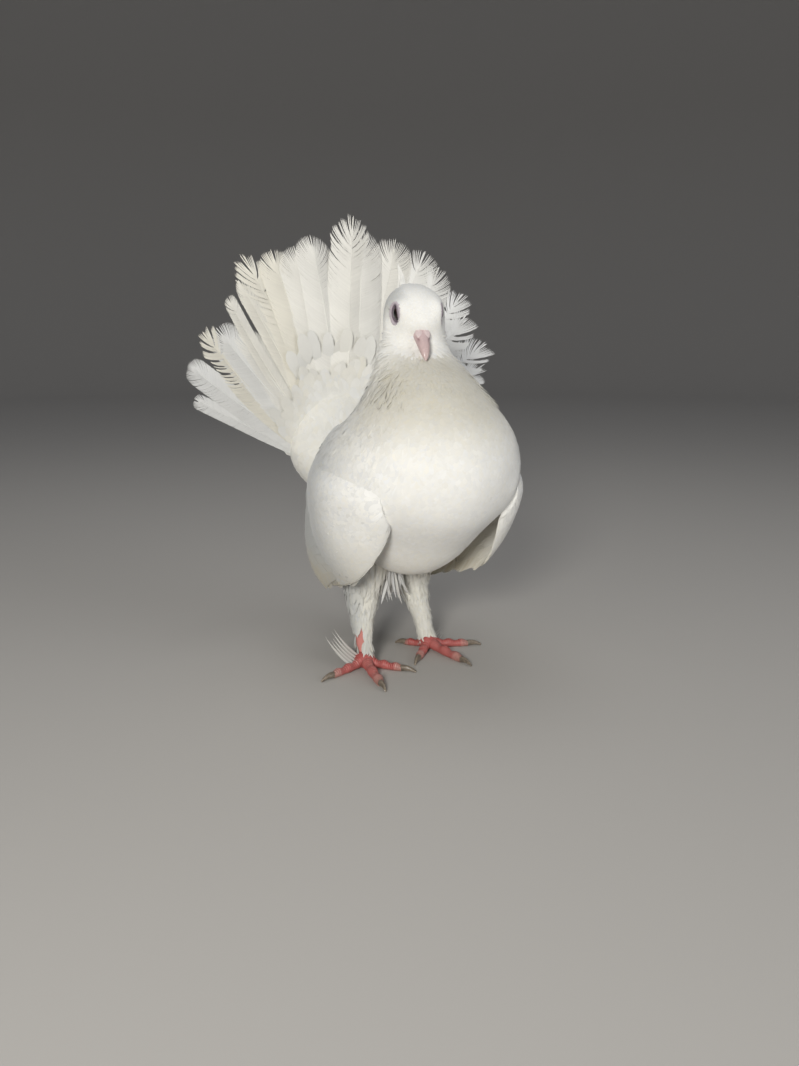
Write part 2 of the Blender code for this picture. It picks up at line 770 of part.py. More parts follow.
def toe_joints(toe):
    return 2 if toe == "hind" else 3


def toe_size(toe, share):
    """The radius of a toe and the height of its middle, at a share of its length from the root."""
    swell = 1 - TOE_SWELL * math.cos(2 * math.pi * toe_joints(toe) * share)
    radius = TOES[toe][2] * (1 - TOE_TAPER * share) * swell
    return radius, TOE_PRESS * radius + TOE_RISE * (1 - share) ** 3


def build_toe(foot, toe):
    """A toe as a soft tube with a swelling at each joint, flat where it rests on the floor."""
    length = TOES[toe][1]
    start = FEET[foot][0]
    way = toe_way(foot, toe)
    begin, end = PAD_RADIUS - 0.6 * MM, length + 0.8 * MM
    middles, radii = [], []
    for share in np.linspace(0, 1, 2 * toe_joints(toe) + 1):
        radius, height = toe_size(toe, share)
        middles.append(start + way * (begin + (end - begin) * share) + Vector((0, 0, height)))
        radii.append(radius)
    made = tube(f"toe_{foot}_{toe}", middles, radii, around=9, side=(0, 0, 1))
    rest_on_floor(made)
    part_at(made, start + way * length, way)
    cut_away(made, leg_form(foot, GAP))
    return largest_part(made)


def rest_on_floor(made):
    """Flattens what would lie under the floor."""
    part_at(made, (0, 0, 0), (0, 0, -1))


def pad(foot, grow=0.0):
    start = FEET[foot][0]
    reach = PAD_RADIUS + grow
    middle = start + Vector((0, 0, PAD_MIDDLE))
    return ball("pad", middle, (reach, reach, PAD_HALF_HEIGHT + grow), rings=6, around=12)


def build_claw(foot, toe):
    """A curved, tapering claw that comes down to the floor."""
    length = TOES[toe][1]
    way = toe_way(foot, toe)
    start = FEET[foot][0] + way * (length - 0.6 * MM)
    _, height = toe_size(toe, 1)
    size = 0.8 if toe == "hind" else 1.0
    middles, radii = [], []
    for share in np.linspace(0, 1, 5):
        rise = height + (0.9 * math.sin(math.pi * share * 0.75) - 1.75 * share**2) * MM
        middles.append(start + way * (CLAW_LENGTH * size * share) + Vector((0, 0, rise)))
        radii.append(CLAW_RADIUS * (1 - 0.72 * share**1.3))
    made = tube(f"claw_{foot}_{toe}", middles, radii, around=7, side=(0, 0, 1))
    rest_on_floor(made)
    part_at(made, FEET[foot][0] + way * (length + GAP), -way)
    return made


def muff_feathers(foot):
    """Stray foot feathers that stand out from the shank's outer side, longest on the right."""
    start = FEET[foot][0]
    forwards, outwards = foot_turn(foot)
    made = []
    count, length = MUFFS[foot]
    for i in range(count):
        root = start + outwards * 4.0 * MM + forwards * (i - 1) * 1.6 * MM + Vector((0, 0, (4 + i) * MM))
        away = (outwards * 0.85 + Vector((0, 0, 0.75)) + forwards * 0.2 * (i - 1)).normalized()
        off_way = away.cross(forwards)

        def place(along, across, off, root=root, away=away, off_way=off_way):
            rise = 22 * along**2
            return root + away * along + forwards * across + Vector((0, 0, rise)) + off_way * off

        made.append(
            vane(
                "muff",
                place,
                length * (1 - 0.12 * i),
                1.9 * MM,
                0.7 * MM,
                rows=5,
                outline=lambda s: 1.0 - 0.6 * np.asarray(s) ** 1.5,
            )
        )
    return made


def leg_form(foot, grow=0.0):
    """The shank and the pad under it, grown outwards where another piece is cut clear of them."""
    start = FEET[foot][0]
    side = 1 if foot == "left" else -1
    rows = stations(LEG_STATIONS, np.linspace(0, len(LEG_STATIONS) - 1, 10))
    middles = [start + Vector((side * out, back, height)) * MM for out, back, height, _ in rows]
    radii = [r * MM + grow for r in rows[:, 3]]
    shank = tube("shank", middles, radii, around=12, side=(1, 0, 0))
    return fuse("leg form", shank, [pad(foot, grow)])


def build_leg(foot, torso_clear):
    """A feathered leg, from the pad under the toes' roots to where it meets the belly."""
    leg = fuse(f"leg_{foot}", leg_form(foot), muff_feathers(foot))
    rest_on_floor(leg)
    cut_away(leg, torso_clear, keep=True)
    return largest_part(leg)


def finish_materials(nodes):
    looks = {
        "plumage": ((0.84, 0.82, 0.77, 1), 0.75),
        "bill": ((0.80, 0.55, 0.52, 1), 0.5),
        "foot": ((0.62, 0.16, 0.15, 1), 0.6),
        "claw": ((0.33, 0.29, 0.24, 1), 0.5),
        "eye": ((0.03, 0.02, 0.02, 1), 0.08),
    }
    kinds = {"bill": "bill", "toe": "foot", "claw": "claw", "eye": "eye"}
    made = {}
    for name, (colour, roughness) in looks.items():
        material = bpy.data.materials.new(name)
        material.use_nodes = True
        shader = material.node_tree.nodes["Principled BSDF"]
        shader.inputs["Base Color"].default_value = colour
        shader.inputs["Roughness"].default_value = roughness
        made[name] = material
    for node in nodes:
        kind = kinds.get(node.name.split("_")[0], "plumage")
        node.data.materials.clear()
        node.data.materials.append(made[kind])
        node.data.shade_smooth()
        node.data.set_sharp_from_angle(angle=math.radians(40))


def centre_on_origin(nodes):
    """Parents every piece to an empty that puts the middle of the bird's box over the origin."""
    places = np.vstack([[v.co for v in node.data.vertices] for node in nodes])
    low, high = places.min(axis=0), places.max(axis=0)
    carrier = bpy.data.objects.new("pigeon", None)
    bpy.context.scene.collection.objects.link(carrier)
    carrier.location = (-(low[0] + high[0]) / 2, -(low[1] + high[1]) / 2, -low[2])
    for node in nodes:
        node.parent = carrier


def main():
    for obj in list(bpy.data.objects):
        bpy.data.objects.remove(obj)
    torso_clear = body_skin("torso clear", 0, NECK_CUT, 15, grow=0.45 * MM)
    tail_clear = tail_base(grow=0.45 * MM)
    nodes = [build_torso(), build_neck(), build_head(), build_rump(), build_tail()]
    nodes += [build_eye("eye_left", 1), build_eye("eye_right", -1)]
    nodes += [build_bill_upper(), build_bill_lower()]
    wings = {"left": 1, "right": -1}
    for name, side in wings.items():
        wing = build_wing(f"wing_{name}", side, torso_clear, tail_clear)
        nodes.append(wing)
        nodes.append(build_leg(name, torso_clear))
    for foot in FEET:
        for toe in TOES:
            nodes.append(build_toe(foot, toe))
            nodes.append(build_claw(foot, toe))
    for helper in (torso_clear, tail_clear):
        bpy.data.objects.remove(helper)
    finish_materials(nodes)
    centre_on_origin(nodes)


main()
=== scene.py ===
"""The looks of a life-size white fantail pigeon: its skin, plumage, eyes, bill, feet and claws.

Every form is worked out in the bird's own frame, as in the solids: it faces -Y, its left side is at +X, and
the floor is z = 0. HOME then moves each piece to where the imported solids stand.
"""

import math

import bpy
import numpy as np
from mathutils import Matrix, Vector


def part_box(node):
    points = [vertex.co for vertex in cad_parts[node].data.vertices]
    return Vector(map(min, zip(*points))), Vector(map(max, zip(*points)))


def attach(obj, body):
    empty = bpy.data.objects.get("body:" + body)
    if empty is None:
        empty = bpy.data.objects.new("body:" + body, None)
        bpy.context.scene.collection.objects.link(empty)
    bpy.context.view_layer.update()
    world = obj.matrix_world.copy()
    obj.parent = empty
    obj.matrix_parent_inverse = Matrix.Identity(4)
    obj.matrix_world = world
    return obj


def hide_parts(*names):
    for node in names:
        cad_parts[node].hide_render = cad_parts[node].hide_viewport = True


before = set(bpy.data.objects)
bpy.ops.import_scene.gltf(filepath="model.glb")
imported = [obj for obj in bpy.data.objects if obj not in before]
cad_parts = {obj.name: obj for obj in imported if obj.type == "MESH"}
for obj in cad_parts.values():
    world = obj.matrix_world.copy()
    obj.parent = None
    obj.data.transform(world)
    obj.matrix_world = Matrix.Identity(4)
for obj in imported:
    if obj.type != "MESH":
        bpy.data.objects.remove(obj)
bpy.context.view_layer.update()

MM = 0.001
TURN = 2 * math.pi
DRAWS = np.random.default_rng(5)

# Sizes, as in the solids

# The body's rings, in millimetres: place back and up, lean in degrees, reach to its back, front and side, and
# how much the front is pinched
BODY_RINGS = {
    "rump end": (74, 99, 8, 11, 11, 13, 0),
    "rump": (67, 99, 8, 20.5, 19.5, 25, 0),
    "loin": (53, 100, 12, 25, 26, 30, 0),
    "flank": (32, 102, 20, 29, 43, 36, 0),
    "belly": (6, 104, 33, 35, 58.5, 45, 0.03),
    "keel": (-15, 110, 46, 39, 52, 53.5, 0.06),
    "breast": (-29, 121, 60, 38, 52, 55, 0.05),
    "crop": (-36, 137, 75, 32, 47, 49, 0),
    "shoulder": (-34, 151, 86, 26, 37, 38, 0),
    "neck root": (-28, 164, 93, 20.5, 26, 28.5, 0),
    "neck": (-21.5, 176, 92, 17.5, 17, 21.5, 0),
    "throat": (-19.5, 186, 84, 18, 15, 17.3, 0.08),
    "cheek": (-20.5, 196, 74, 18, 17.2, 17, 0.14),
    "brow": (-22, 204.5, 66, 15.8, 15.2, 15.3, 0.14),
    "crown": (-23, 210, 62, 9.2, 9.7, 9.4, 0.15),
    "crown end": (-23.4, 211.8, 62, 2.5, 2.5, 2.5, 0),
}
TWIST_LOW, TWIST_HIGH = 166 * MM, 188 * MM  # the heights between which the neck turns the head
HEAD_CENTRE = np.array([0, -22, 198.5]) * MM
HEAD_TURN, HEAD_PITCH = math.radians(13.5), math.radians(42)
FACE_CUT = 16.2 * MM  # from the head's centre forwards to the bill's root

# Places and ways in the head's frame: to the bird's left, forwards along the bill, and up
CAD_EYE_PLACE = (8.9 * MM, 3.0 * MM, 2.9 * MM)  # the solids' eye
EYE_PLACE = (8.9 * MM, 3.9 * MM, 3.7 * MM)  # the eye shown here
EYE_LOOK, LID_RISE = (0.973, 0.21, 0.10), (0, -0.85, 0.58)
EYE_RADIUS, EYE_SET = 5.0 * MM, 0.3 * MM  # the ball's, and how far it sits back
EYE_FLAT, EYE_FLAT_REACH = 3.9 * MM, 7.0 * MM  # the head's flat round an eye: how far out, and how wide

# The soft base of the tail, in millimetres: place back and up, lean in degrees, reach to front, rear and side
TAIL_BASE_RINGS = {
    "root": (45, 101, 6, 24, 24, 29),
    "saddle": (60, 103, 12, 22.3, 22, 30),
    "bend": (75, 109, 36, 21, 21, 35),
    "rise": (86, 121, 62, 18, 20, 34),
    "plume": (92, 137, 80, 13, 14, 28),
    "fade": (95, 153, 86, 8, 8, 20),
    "top": (97, 165, 88, 2.5, 2.5, 9),
}
FAN_ROOT = np.array([3, 87, 97.5]) * MM
FAN_LEAN, FAN_TURN, FAN_STEP = math.radians(1), math.radians(4.8), math.radians(6.06)
FAN_CUP = 2.0  # the fan's sides come forward by this times the square of their way out, in metres
FAN_WIDTHS = (30, 30, 29, 25, 11)  # of its feathers, from the foremost to the sides
FAN_START = 9 * MM
FAN_SHINGLE = math.tan(math.radians(9))

# The left wing from its front to its tip: its upper edge, its middle and its lower edge, each as a place to
# the left, back and up, in millimetres
WING_STATIONS = {
    "front": ((40, -50, 128), (36, -63, 107), (33, -57, 92)),
    "wrist": ((40, -30, 140), (49, -47, 103), (35, -47, 74)),
    "shoulder": ((36, -8, 139), (56, -26, 99), (38, -31, 58)),
    "arm": ((32, 12, 131), (52, 0, 92), (39, -12, 50)),
    "hand": ((30, 30, 118), (45, 22, 80), (36, 10, 43)),
    "quills": ((29, 48, 98), (38, 42, 63), (29, 32, 37)),
    "tip": ((20, 75, 52), (19, 75, 46), (17, 70, 40)),
}
# Where each foot stands, and how far it turns out
FEET = {
    "right": (np.array([-28, -13, 0]) * MM, math.radians(8.5)),
    "left": (np.array([20, -2, 0]) * MM, math.radians(9.5)),
}
# Each toe's turn outwards in degrees, its length and its radius
TOES = {
    "middle": (0, 32 * MM, 2.75 * MM),
    "outer": (61, 25 * MM, 2.5 * MM),
    "inner": (-52, 23 * MM, 2.5 * MM),
    "hind": (-149, 15 * MM, 2.3 * MM),
}
TOE_TAPER, TOE_SWELL, TOE_PRESS, TOE_RISE = 0.22, 0.12, 0.88, 1.4 * MM
TOE_BEGIN, SCUTE, TOE_PAD = 1.5 * MM, 1.25 * MM, 1.1 * MM  # a toe's start; a scute's and a pad's length
PAD_RADIUS, PAD_HEIGHT, PAD_DEPTH = 6.0 * MM, 4.4 * MM, 5.2 * MM
CLAW_LENGTH, CLAW_RADIUS, HIND_CLAW = 9.4 * MM, 1.95 * MM, 0.8  # the last as a share of the others' length
# A leg's circles, in millimetres: place out, back and up, and radius
LEG_STATIONS = {
    "ankle": (0, 0.5, 5.0, 4.8),
    "shank": (-0.8, 3.5, 13, 5.2),
    "tuft": (-1.7, 6.5, 21, 6.2),
    "mid": (-3.3, 10, 30, 7.5),
    "hock": (-4.6, 12.5, 41, 9.5),
    "drumstick": (-4.8, 10, 53, 12.3),
    "thigh": (-4, 6, 67, 13.3),
}

# Colours of the plumage
WHITE = np.array([0.86, 0.85, 0.81])
CREAM = np.array([0.82, 0.77, 0.62])
STAIN = np.array([0.60, 0.49, 0.27])
SHADE = np.array([0.60, 0.61, 0.62])
THROAT_SHADE = np.array([0.60, 0.57, 0.48])
BLUISH = np.array([0.76, 0.79, 0.84])
# Dark grey: painted shade on the right flank and wing, the head and low down; it also dulls the tail's
# cushion
DARK_GREY = np.array([0.45, 0.46, 0.45])
SOIL = np.array([0.20, 0.18, 0.15])
# The vent tuft's grey: painted shade under the body, white drawn about a third of the way to SHADE
VENT_TUFT_SHADE = WHITE + (SHADE - WHITE) * 0.35

# Colours of the bare parts
BARE_SKIN = np.array([0.62, 0.24, 0.21])
PUPIL = np.array([0.003, 0.003, 0.003])
IRIS = np.array([0.022, 0.009, 0.006])
EYE_RIM = np.array([0.012, 0.01, 0.01])
LID_PALE = np.array([0.58, 0.51, 0.55])
LID_SHADE = np.array([0.16, 0.12, 0.15])
BILL_PINK = np.array([0.60, 0.45, 0.45])
BILL_TIP = np.array([0.55, 0.41, 0.39])
BILL_SHADE = np.array([0.32, 0.18, 0.19])
CERE_PINK = np.array([0.66, 0.54, 0.53])
TOE_RED = np.array([0.44, 0.085, 0.075])
TOE_PALE = np.array([0.70, 0.42, 0.38])
TOE_BROWN = np.array([0.26, 0.19, 0.14])
PAD_RED = np.array([0.46, 0.10, 0.09])
CLAW_DARK = np.array([0.12, 0.09, 0.065])
CLAW_PALE = np.array([0.40, 0.34, 0.26])


def unit(vectors):
    """Each vector divided by its length."""
    return vectors / np.maximum(np.linalg.norm(vectors, axis=-1, keepdims=True), 1e-12)


def dot(a, b):
    """The sum of the products of two vectors' parts, with the last axis kept."""
    return np.sum(a * b, axis=-1, keepdims=True)


def mixed(colour, other, share):
    """A colour drawn towards another, by a share for each point."""
    return colour + (other - colour) * share[..., None]


def round_turn(count):
    """Turns spread evenly once round, as one row."""
    return np.linspace(0, TURN, count, endpoint=False)[None]


def ease(value, low, high):
    """0 below low and 1 above high, with a smooth climb between."""
    share = np.clip((value - low) / (high - low), 0, 1)
    return share * share * (3 - 2 * share)


def smooth_rows(table, at):
    """The rows of a table joined by the natural cubic spline, read at places that count rows from 0."""
    rows = np.array(list(table.values()) if isinstance(table, dict) else table, float)
    count, flat = len(rows), rows.reshape(len(rows), -1)
    system = np.eye(count)
    inner = np.arange(1, count - 1)
    system[inner, inner] = 4
    system[inner, inner - 1] = 1
    system[inner, inner + 1] = 1
    right = np.zeros_like(flat)
    right[1:-1] = 6 * (flat[2:] - 2 * flat[1:-1] + flat[:-2])
    bend = np.linalg.solve(system, right)
    at = np.asarray(at, float)
    place = at.ravel()
    i = np.clip(np.floor(place), 0, count - 2).astype(int)
    after = (place - i)[:, None]
    before = 1 - after
    made = flat[i] * before + flat[i + 1] * after
    made += (bend[i] * (before**3 - before) + bend[i + 1] * (after**3 - after)) / 6
    return made.reshape(*at.shape, *rows.shape[1:])


HEAD = np.array(Matrix.Rotation(-HEAD_TURN, 3, "Z") @ Matrix.Rotation(HEAD_PITCH, 3, "X"))


def head_way(left, forwards, up):
    """A direction or offset of the head's frame: to the bird's left, forwards along the bill, and up."""
    return np.stack(np.broadcast_arrays(left, -np.asarray(forwards), up), -1) @ HEAD.T


def eye_centre(sign):
    """The middle of one eye: the left one for 1, and the right one for -1."""
    return HEAD_CENTRE + head_way(sign * EYE_PLACE[0], *EYE_PLACE[1:])


def eye_way(sign):
    """The way that one eye looks."""
    return unit(head_way(sign * EYE_LOOK[0], *EYE_LOOK[1:]))


eye_low, eye_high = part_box("eye_left")
HOME = (np.array(eye_low) + np.array(eye_high)) / 2 - HEAD_CENTRE - head_way(*CAD_EYE_PLACE)
BILL_ROOT = HEAD_CENTRE + head_way(0, FACE_CUT, -1 * MM)


# Surfaces: each takes two parameters, as arrays of any one shape, and gives points
def ring_surface(along, turn):
    """The body alone, by rings counted from the rump.

    A ring is an ellipse in each quarter, with a reach of its own to the back, the front and the side, and it
    leans as the body does.
    """
    rows = smooth_rows(BODY_RINGS, along)
    back, height, lean, to_back, to_front, to_side, pinch = np.moveaxis(rows, -1, 0)
    in_front = np.clip(-np.cos(turn), 0, 1)
    across = to_side * (1 - pinch * in_front) * np.sin(turn)
    dorsal = np.where(np.cos(turn) > 0, to_back, to_front) * np.cos(turn)
    lean = np.radians(lean)
    return np.stack([across, back + dorsal * np.sin(lean), height + dorsal * np.cos(lean)], -1) * MM


def wing_sheet(side):
    """The wing alone: at each station a parabola, from the lower edge, -1, by the middle to the upper, 1."""
    rows = np.array(list(WING_STATIONS.values()), float) * MM
    rows[:, :, 0] *= side

    def surface(along, across):
        """A point from its way along the wing, in stations, and across it."""
        edges = smooth_rows(rows, np.clip(along, -0.3, 6.2))
        upper, middle, lower = edges[..., 0, :], edges[..., 1, :], edges[..., 2, :]
        across = np.asarray(across)[..., None]
        return middle + (upper - lower) / 2 * across + ((upper + lower) / 2 - middle) * across**2

    return surface


# The swell that joins a wing and the body, on a grid of places back and up
SWELL_GRID = (np.linspace(-80, 70, 76) * MM, np.linspace(60, 160, 51) * MM)
SWELL_BLEND = 14.0 * MM  # the gap between body and wing at which the swell ends
SWELL_HEIGHTS = (72 * MM, 94 * MM)  # where it begins, and where it is whole
SWELL_ASIDE = (12 * MM, 24 * MM)  # the same, outwards from the bird's middle
COVER = 6 * MM  # the most that the cloak of shoulder feathers goes out to a wing
NO_GAP, KNOWN_GAP = 99 * MM, 90 * MM  # the gap's value where there is no wing, and what is surely less
NEAR = 1.2 * MM  # points up to about this far from a place count for it
BLOCK = 400  # places worked out at a time


def outermost(points):
    """For each place of the swell's grid, how far out the given points lie: a mean of the near ones."""
    y, z = np.meshgrid(*SWELL_GRID, indexing="ij")
    places = points.reshape(-1, 3)
    reach = np.full(y.size, -1.0)
    for first in range(0, y.size, BLOCK):
        part = slice(first, first + BLOCK)
        gap = (y.ravel()[part, None] - places[:, 1]) ** 2 + (z.ravel()[part, None] - places[:, 2]) ** 2
        weight = np.exp(-gap / NEAR**2)
        total = weight.sum(1)
        reach[part] = np.where(total > 0.05, (weight @ np.abs(places[:, 0])) / np.maximum(total, 1e-9), -1)
    return reach.reshape(y.shape)


def soften(grid):
    """The grid with each value made the mean of its neighbours, three times over."""
    for _ in range(3):
        wide = np.pad(grid, 1, mode="edge")
        wide = (wide[:-2] + 2 * wide[1:-1] + wide[2:]) / 4
        grid = (wide[:, :-2] + 2 * wide[:, 1:-1] + wide[:, 2:]) / 4
    return grid


def make_swell():
    """Three grids, from how far out the body and the wing lie at each place.

    The swell: where body and wing cross, both go out by (blend - gap)^2 / (4 blend). The gap: how far out the
    body lies over the wing. The cover: how far out the wing lies over the body, up to its limit.
    """
    u, v = np.meshgrid(np.linspace(1, 10, 150), np.linspace(0.2, math.pi - 0.2, 120), indexing="ij")
    body = outermost(ring_surface(u, v))
    u, v = np.meshgrid(np.linspace(-0.3, 5, 130), np.linspace(-1, 1, 80), indexing="ij")
    wing = outermost(wing_sheet(1)(u, v))
    both = (wing > 0) & (body > 0)
    near = np.maximum(SWELL_BLEND - np.abs(body - wing), 0) * both
    swell = soften(near**2 / (4 * SWELL_BLEND)) * ease(SWELL_GRID[1], *SWELL_HEIGHTS)
    return swell, np.where(both, body - wing, NO_GAP), soften(np.clip(wing - body, 0, COVER) * both)


SWELL, WING_GAP, WING_OVER = make_swell()


def read_grid(grid, points):
    """A grid's value at each point's place along and up the bird, between the grid's four nearest rows."""
    spots, shares = [], []
    for axis, rows in ((1, SWELL_GRID[0]), (2, SWELL_GRID[1])):
        at = (points[..., axis] - rows[0]) / (rows[1] - rows[0])
        low = np.clip(np.floor(at), 0, len(rows) - 2).astype(int)
        spots.append(low)
        shares.append(np.clip(at - low, 0, 1))
    (i, j), (a, b) = spots, shares
    low = grid[i, j] * (1 - a) + grid[i + 1, j] * a
    high = grid[i, j + 1] * (1 - a) + grid[i + 1, j + 1] * a
    return low * (1 - b) + high * b


def drawn_out(points, *grids):
    """Points moved away from the bird's middle by the sum of the grids at their place."""
    moved = points.copy()
    over = sum(read_grid(grid, points) for grid in grids)
    moved[..., 0] += np.sign(points[..., 0]) * over * ease(np.abs(points[..., 0]), *SWELL_ASIDE)
    return moved


def cloak_surface(along, turn):
    """Body and wings as one: the body drawn out to its wings where they lie a little outside it."""
    return drawn_out(ring_surface(along, turn), SWELL, WING_OVER)


def on_the_join(points, u, v):
    """Where the upper part of a wing comes out of the body, fading downwards over the wing."""
    gap = read_grid(WING_GAP, points)
    near = (gap > -4.5 * MM) * (1 - ease(gap, 1 * MM, 4 * MM)) * (np.abs(points[..., 0]) > 24 * MM)
    return 1e-6 + near * ease(points[..., 2], 92 * MM, 106 * MM) * ease(points[..., 1], -50 * MM, -42 * MM)


def clear_of_wing(points, u, v):
    """0 where the body lies within the thickness of a wing, and 1 elsewhere."""
    gap = read_grid(WING_GAP, points)
    return 1.0 - (np.abs(points[..., 0]) > 20 * MM) * (gap > -3.2 * MM) * (gap < -0.9 * MM)


def body_surface(along, turn):
    """The body with its wings' swell.

    The neck turns the head about the upright. Round each eye the head is drawn to a flat that faces as the
    eye does, by exp(-(way from the eye's middle / reach)^4).
    """
    points = drawn_out(ring_surface(along, turn), SWELL)
    angle = -HEAD_TURN * ease(points[..., 2], TWIST_LOW, TWIST_HIGH)
    x, y = points[..., 0].copy(), points[..., 1] - HEAD_CENTRE[1]
    points[..., 0] = x * np.cos(angle) - y * np.sin(angle)
    points[..., 1] = x * np.sin(angle) + y * np.cos(angle) + HEAD_CENTRE[1]
    for sign in (1, -1):
        way = eye_way(sign)
        off = points - eye_centre(sign)
        level = dot(off, way)
        reach = np.linalg.norm(off - level * way, axis=-1)[..., None]
        near = np.exp(-((reach / EYE_FLAT_REACH) ** 4)) * ease(level, -4 * MM, -1 * MM)
        points = points + way * (EYE_FLAT - level) * near
    return points


def tail_base_surface(along, turn):
    """The soft base of the tail: ellipses along a line that runs backwards and then up."""
    rows = smooth_rows(TAIL_BASE_RINGS, along)
    back, height, lean, to_front, to_rear, to_side = np.moveaxis(rows, -1, 0)
    dorsal = np.where(np.cos(turn) > 0, to_front, to_rear) * np.cos(turn)
    lean = np.radians(lean)
    rise = height + dorsal * np.cos(lean)
    return np.stack([to_side * np.sin(turn), back - dorsal * np.sin(lean), rise], -1) * MM


def leg_surface(foot):
    """A leg: circles round a line from the ankle up into the belly."""
    start, _ = FEET[foot]
    side = 1 if foot == "left" else -1

    def surface(along, turn):
        """A point from its way up the leg, in circles, and its turn round it."""
        out, back, height, radius = np.moveaxis(smooth_rows(LEG_STATIONS, along), -1, 0)
        x, y = side * out + radius * np.cos(turn), back + radius * np.sin(turn)
        return start + np.stack([x, y, height], -1) * MM

    surface.outward = -1
    return surface


def wing_surface(side):
    """The folded wing's sheet with the swell that joins it to the body."""
    sheet = wing_sheet(side)

    def surface(along, across):
        """A point from its way along the wing, in stations, and across it."""
        return drawn_out(sheet(along, across), SWELL)

    surface.outward = -side
    return surface


body_surface.outward = 1
cloak_surface.outward = 1
tail_base_surface.outward = -1


def frame_at(surface, u, v):
    """The point of a surface, its two tangents, and its outward normal, from small differences."""
    small = 1e-3
    along = (surface(u + small, v) - surface(u - small, v)) / (2 * small)
    across = (surface(u, v + small) - surface(u, v - small)) / (2 * small)
    return surface(u, v), along, across, unit(np.cross(along, across)) * surface.outward


SEQUENCE = (0.7548776662466927, 0.5698402909980532)  # inverse powers of the plastic number
SPREAD_STEPS = 161


def spread(surface, count, u_range, v_range, density=None):
    """Roots spread evenly over part of a surface.

    They are a low-discrepancy sequence, warped by the running sum of the area, or of the area times density.
    """
    us = np.linspace(*u_range, SPREAD_STEPS)
    vs = np.linspace(*v_range, SPREAD_STEPS)
    u, v = np.meshgrid(us, vs, indexing="ij")
    points, along, across, _ = frame_at(surface, u, v)
    weight = np.linalg.norm(np.cross(along, across), axis=-1)
    if density:
        weight = weight * density(points, u, v)
    k = np.arange(1, count + 1)
    first, second = ((0.5 + k * step) % 1.0 for step in SEQUENCE)
    rows = np.concatenate([[0], np.cumsum((weight.sum(1)[1:] + weight.sum(1)[:-1]) / 2)])
    at_u = np.interp(first, rows / rows[-1], us)
    spot = (at_u - us[0]) / (us[-1] - us[0]) * (len(us) - 1)
    low = np.clip(spot.astype(int), 0, len(us) - 2)
    share = (spot - low)[:, None]
    strip = weight[low] * (1 - share) + weight[low + 1] * share
    sums = np.cumsum((strip[:, 1:] + strip[:, :-1]) / 2, axis=1)
    sums = np.concatenate([np.zeros((count, 1)), sums], axis=1) / np.maximum(sums[:, -1:], 1e-12)
    index = np.clip((sums < second[:, None]).sum(1) - 1, 0, len(vs) - 2)
    pick = np.arange(count)
    gap = np.maximum(sums[pick, index + 1] - sums[pick, index], 1e-12)
    at_v = vs[index] + (second - sums[pick, index]) / gap * (vs[1] - vs[0])
    return at_u, at_v


# Meshes
def set_dye(mesh, colours):
    """Gives each point of a mesh its colour, in the attribute that the materials read."""
    full = np.ones((len(mesh.vertices), 4), np.float32)
    full[:, :3] = np.clip(colours.reshape(-1, 3), 0, 1)
    mesh.attributes.new("dye", "FLOAT_COLOR", "POINT").data.foreach_set("color", full.ravel())


def piece(name, points, corners, material, replaced=(), maps=None, dye=None, sharp=0):
    """A mesh from arrays of points and of triangle corners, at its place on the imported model."""
    mesh = bpy.data.meshes.new(name)
    placed = np.ascontiguousarray(points.reshape(-1, 3) + HOME, np.float32)
    corners = np.ascontiguousarray(corners.reshape(-1, 3), np.int32)
    mesh.vertices.add(len(placed))
    mesh.vertices.foreach_set("co", placed.ravel())
    mesh.loops.add(corners.size)
    mesh.loops.foreach_set("vertex_index", corners.ravel())
    mesh.polygons.add(len(corners))
    mesh.polygons.foreach_set("loop_start", np.arange(0, corners.size, 3, dtype=np.int32))
    mesh.update(calc_edges=True)
    for title, places in (maps or {}).items():
        layer = mesh.uv_layers.new(name=title)
        layer.data.foreach_set("uv", places.reshape(-1, 2)[corners.ravel()].astype(np.float32).ravel())
    if dye is not None:
        set_dye(mesh, dye)
    mesh.materials.append(material)
    mesh.shade_smooth()
    if sharp:
        mesh.set_sharp_from_angle(angle=math.radians(sharp))
    made = bpy.data.objects.new(name, mesh)
    bpy.context.scene.collection.objects.link(made)
    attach(made, "root")
    if replaced:
        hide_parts(*replaced)
    return made


def joined(parts):
    """Several pairs of points and corners as one pair."""
    starts = np.cumsum([0] + [len(points) for points, _ in parts])
    corners = [corners + start for (_, corners), start in zip(parts, starts)]
    return np.concatenate([points for points, _ in parts]), np.concatenate(corners)


def with_ends(colours, first, last):
    """The colours of a closed grid: those of its rings, and one for the middle point of either end."""
    return np.concatenate([colours.reshape(-1, 3), first[None], last[None]])


def closed_grid(points, flip=False):
    """Triangles over rings of points (rings, around, 3), closed round, with a middle point at either end."""
    rings, around = points.shape[:2]
    r, k = np.meshgrid(np.arange(rings - 1), np.arange(around), indexing="ij")
    a, b = r * around + k, r * around + (k + 1) % around
    c, d = b + around, a + around
    quads = np.stack([a, b, c, a, c, d], -1).reshape(-1, 3)
    first, last = rings * around, rings * around + 1
    k = np.arange(around)
    start = np.stack([np.full(around, first), (k + 1) % around, k], -1)
    base = (rings - 1) * around
    end = np.stack([np.full(around, last), base + k, base + (k + 1) % around], -1)
    corners = np.concatenate([quads, start, end])
    if flip:
        corners = corners[:, ::-1]
    flat = points.reshape(-1, 3)
    return np.concatenate([flat, points[0].mean(0)[None], points[-1].mean(0)[None]]), corners


